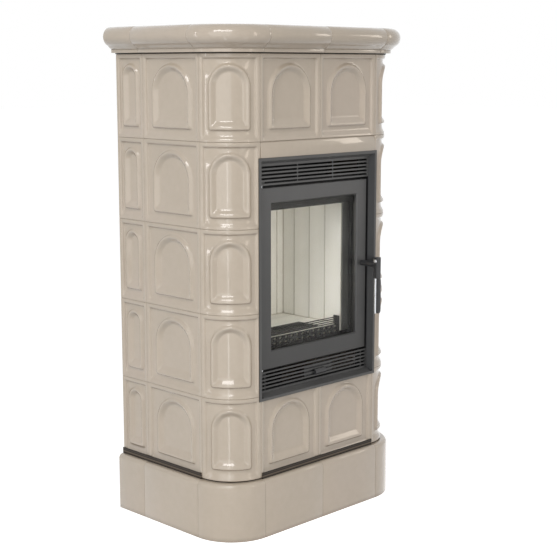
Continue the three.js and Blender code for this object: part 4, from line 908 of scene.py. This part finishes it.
def frame_paint_material():
    """Brown-black paint, with painted shadow and painted highlight lines along the edge above the
    plinth.
    """
    mat, tree, shader = new_material("frame_paint")
    dark, middle, light = srgb(26, 20, 15), srgb(66, 56, 46), srgb(112, 99, 85)
    # painted shadow under the tiles and painted highlights where the edge catches light
    lines = [
        (0.0, dark), (0.14, dark), (0.24, middle), (0.46, light),
        (0.56, dark), (0.66, dark), (0.76, middle), (0.94, dark),
    ]
    edge_shadow_and_highlight = ramp(tree, along(tree, "Z", *STRIP_Z), lines)
    patchy = ramp(tree, noise(tree, 30.0), [(0.3, dark), (0.7, middle)])
    finish_surface(tree, shader, mix(tree, 0.18, edge_shadow_and_highlight, patchy), 0.5, Specular_IOR_Level=0.3)
    paint_grain(tree, shader)
    return mat


RECESS_X = 0.2145  # half width from which the insert's upright sides begin
LIP_BACK = -0.2150  # the lip's back edge, in y


def collar_material():
    """The insert's paint: the lip as the door, the upright sides of the recess darker with painted
    shade.
    """
    mat, tree, shader = new_material("insert_paint")
    # painted shade: the recess's upright sides darker than the lip
    xyz = separate(tree, position(tree))
    wide = calculate(tree, "GREATER_THAN", calculate(tree, "ABSOLUTE", xyz["X"]), RECESS_X)
    behind = calculate(tree, "GREATER_THAN", xyz["Y"], LIP_BACK)
    inside = calculate(tree, "MULTIPLY", wide, behind)
    broad = noise(tree, 5.0, 3.0, 0.5)
    lip = ramp(tree, broad, [(0.3, srgb(70, 70, 70)), (0.7, srgb(79, 79, 78))])
    recess = ramp(tree, broad, [(0.3, srgb(33, 34, 35)), (0.7, srgb(40, 40, 41))])
    sheen = ramp(tree, noise(tree, 70.0, 4.0, 0.6), [(0.3, 0.36), (0.7, 0.48)])
    finish_surface(tree, shader, mix(tree, inside, lip, recess), sheen)
    paint_grain(tree, shader)
    return mat


DOOR_SHADE_HEIGHTS = (0.46, 0.91)  # heights between which the door's paint lightens, a painted shade darker towards the bottom

CORNICE_GLAZE = glaze_material("cornice_glaze", 0.96)
MORTAR = mortar_material()
COLLAR = collar_material()
FRAME_PAINT = frame_paint_material()
SHELL_PAINT = paint_material("shell_paint", srgb(26, 26, 26), 0.6)
ANGLE_PAINT = paint_material("angle_paint", srgb(86, 86, 84), 0.5)
SLOTS = {
    "glaze": glaze_material("glaze"),
    "painted_steel": paint_material("painted_steel", srgb(85, 85, 85), 0.40, shade_heights=DOOR_SHADE_HEIGHTS),
    "sheet_steel": paint_material("sheet_steel", srgb(62, 62, 62), 0.5),
    "cast_iron": paint_material("cast_iron", srgb(34, 34, 34), 0.6, grain=0.6),
    "fireclay": lining_material(),
    "bright_steel": metal_material("bright_steel", srgb(214, 216, 219), 0.24),
    "dark_steel": paint_material("dark_steel", srgb(46, 46, 48), 0.38),
    "rope": rope_material(),
    "pane": glass_material(),
}
slot_of = {s["node"]: s["material_slot"] for s in frame["record"]["subparts"]}


def dress(obj, mat):
    obj.data.materials.clear()
    obj.data.materials.append(mat)


for name, obj in frame["nodes"].items():
    dress(obj, SLOTS[slot_of[name]])
dress(frame["nodes"]["steel_frame"], FRAME_PAINT)
dress(frame["nodes"]["insert_frame"], COLLAR)
dress(frame["nodes"]["firebox_shell"], SHELL_PAINT)
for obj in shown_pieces():
    if obj.name.startswith("cornice_glazed"):
        dress(obj, CORNICE_GLAZE)
    elif "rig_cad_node" not in obj:
        dress(obj, SLOTS[obj["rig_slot"]])
for obj in mortar:
    dress(obj, MORTAR)
for obj in lining_angles:
    dress(obj, ANGLE_PAINT)
dress(cornice_gap_shadow_strip, FRAME_PAINT)


# ---------------------------------------------------------------- stage, light and camera

FLOOR_HALF = 30
FLOOR_LIFT = 0.68  # the floor's own light where it is seen, so that it shows white
AMBIENT = 0.35
BACKGROUND = 1.0


def plane(name, half, mat):
    corners = [(-half, -half, 0), (half, -half, 0), (half, half, 0), (-half, half, 0)]
    mesh = bpy.data.meshes.new(name)
    mesh.from_pydata(corners, [], [tuple(range(len(corners)))])
    obj = bpy.data.objects.new(name, mesh)
    bpy.context.scene.collection.objects.link(obj)
    obj.data.materials.append(mat)


def background_rays(tree):
    """1 where the camera, a reflection or glass looks at the studio, 0 where it only lights."""
    light_path = node(tree, "ShaderNodeLightPath")
    seen = light_path.outputs["Is Camera Ray"]
    for name in ("Is Glossy Ray", "Is Transmission Ray"):
        seen = calculate(tree, "MAXIMUM", seen, light_path.outputs[name])
    return seen


def floor_material():
    mat, tree, shader = new_material("floor")
    tone = ramp(tree, noise(tree, 0.7, 2.0), [(0.3, 0.90), (0.7, 0.92)])
    lift = calculate(tree, "MULTIPLY", background_rays(tree), FLOOR_LIFT)
    finish_surface(tree, shader, tone, 0.9, Specular_IOR_Level=0.1, Emission_Strength=lift)
    shader.inputs["Emission Color"].default_value = (1, 1, 1, 1)
    return mat


plane("floor", FLOOR_HALF, floor_material())


def area(name, location, target, size, power, colour):
    light = bpy.data.lights.new(name, "AREA")
    light.shape = "RECTANGLE"
    light.size, light.size_y = size
    light.energy = power
    light.color = colour
    obj = bpy.data.objects.new(name, light)
    obj.location = location
    direction = Vector(target) - Vector(location)
    obj.rotation_euler = direction.to_track_quat("-Z", "Y").to_euler()
    bpy.context.scene.collection.objects.link(obj)


# Lamps: name, place, the point it looks at, breadth and height, watts, colour. The two narrow
# ones stand near the left corner and give its lower tiles their upright lines of glare.
LAMPS = (
    ("key", (-3.3, -1.75, 1.62), (0, 0, 0.8), (2.8, 3.0), 30.5, (0.99, 0.995, 1)),
    ("high", (-2.25, -1.35, 3.15), (0, 0, 0.8), (1.7, 0.75), 33, (1, 0.99, 0.98)),
    ("strip", (-3.4, 1.25, 1.3), (0, 0, 0.9), (0.12, 2.4), 8, (1, 0.96, 0.95)),
    ("fill", (0.2, -3.8, 1.5), (0, 0, 0.7), (0.34, 2.3), 8.5, (1, 0.87, 0.74)),
    ("gloss", (3.45, -2.45, 1.9), (0.1, -0.2, 1.05), (0.95, 1.0), 10.5, (1, 0.9, 0.78)),
    ("line_left", (-0.795, -0.525, 0.5), (-0.307, -0.176, 0.5), (0.032, 0.98), 0.34, (1, 1, 1)),
    (
        "line_right", (-0.352, -0.797, 0.5), (-0.272, -0.202, 0.5), (0.018, 0.98), 0.14,
        (1, 0.95, 0.88),
    ),
)
for lamp in LAMPS:
    area(*lamp)


scene = bpy.context.scene
world = bpy.data.worlds.new("studio")
scene.world = world
world.use_nodes = True
world_tree = world.node_tree
ambient = world_tree.nodes["Background"]
white = node(world_tree, "ShaderNodeBackground")
for light, strength in ((ambient, AMBIENT), (white, BACKGROUND)):
    light.inputs["Color"].default_value = (1, 1, 1, 1)
    light.inputs["Strength"].default_value = strength
studio = node(world_tree, "ShaderNodeMixShader")
world_tree.links.new(background_rays(world_tree), studio.inputs[0])
world_tree.links.new(ambient.outputs[0], studio.inputs[1])
world_tree.links.new(white.outputs[0], studio.inputs[2])
world_tree.links.new(studio.outputs[0], world_tree.nodes["World Output"].inputs[0])

scene.view_settings.view_transform = "Standard"

# The camera, placed and turned as the photograph's was
SENSOR = 36.0
LENS = 81.39
CAMERA_AT = (-2.4752, -2.3028 + SHIFT_Y * MM, 1.2422)
CAMERA_DOWN = 9.55
CAMERA_TURN = -45.17
camera_data = bpy.data.cameras.new("camera")
camera = bpy.data.objects.new("camera", camera_data)
scene.collection.objects.link(camera)
camera_data.sensor_width = SENSOR
camera_data.lens = LENS
camera.location = CAMERA_AT
camera.rotation_euler = (math.radians(90 - CAMERA_DOWN), 0.0, math.radians(CAMERA_TURN))
scene.camera = camera
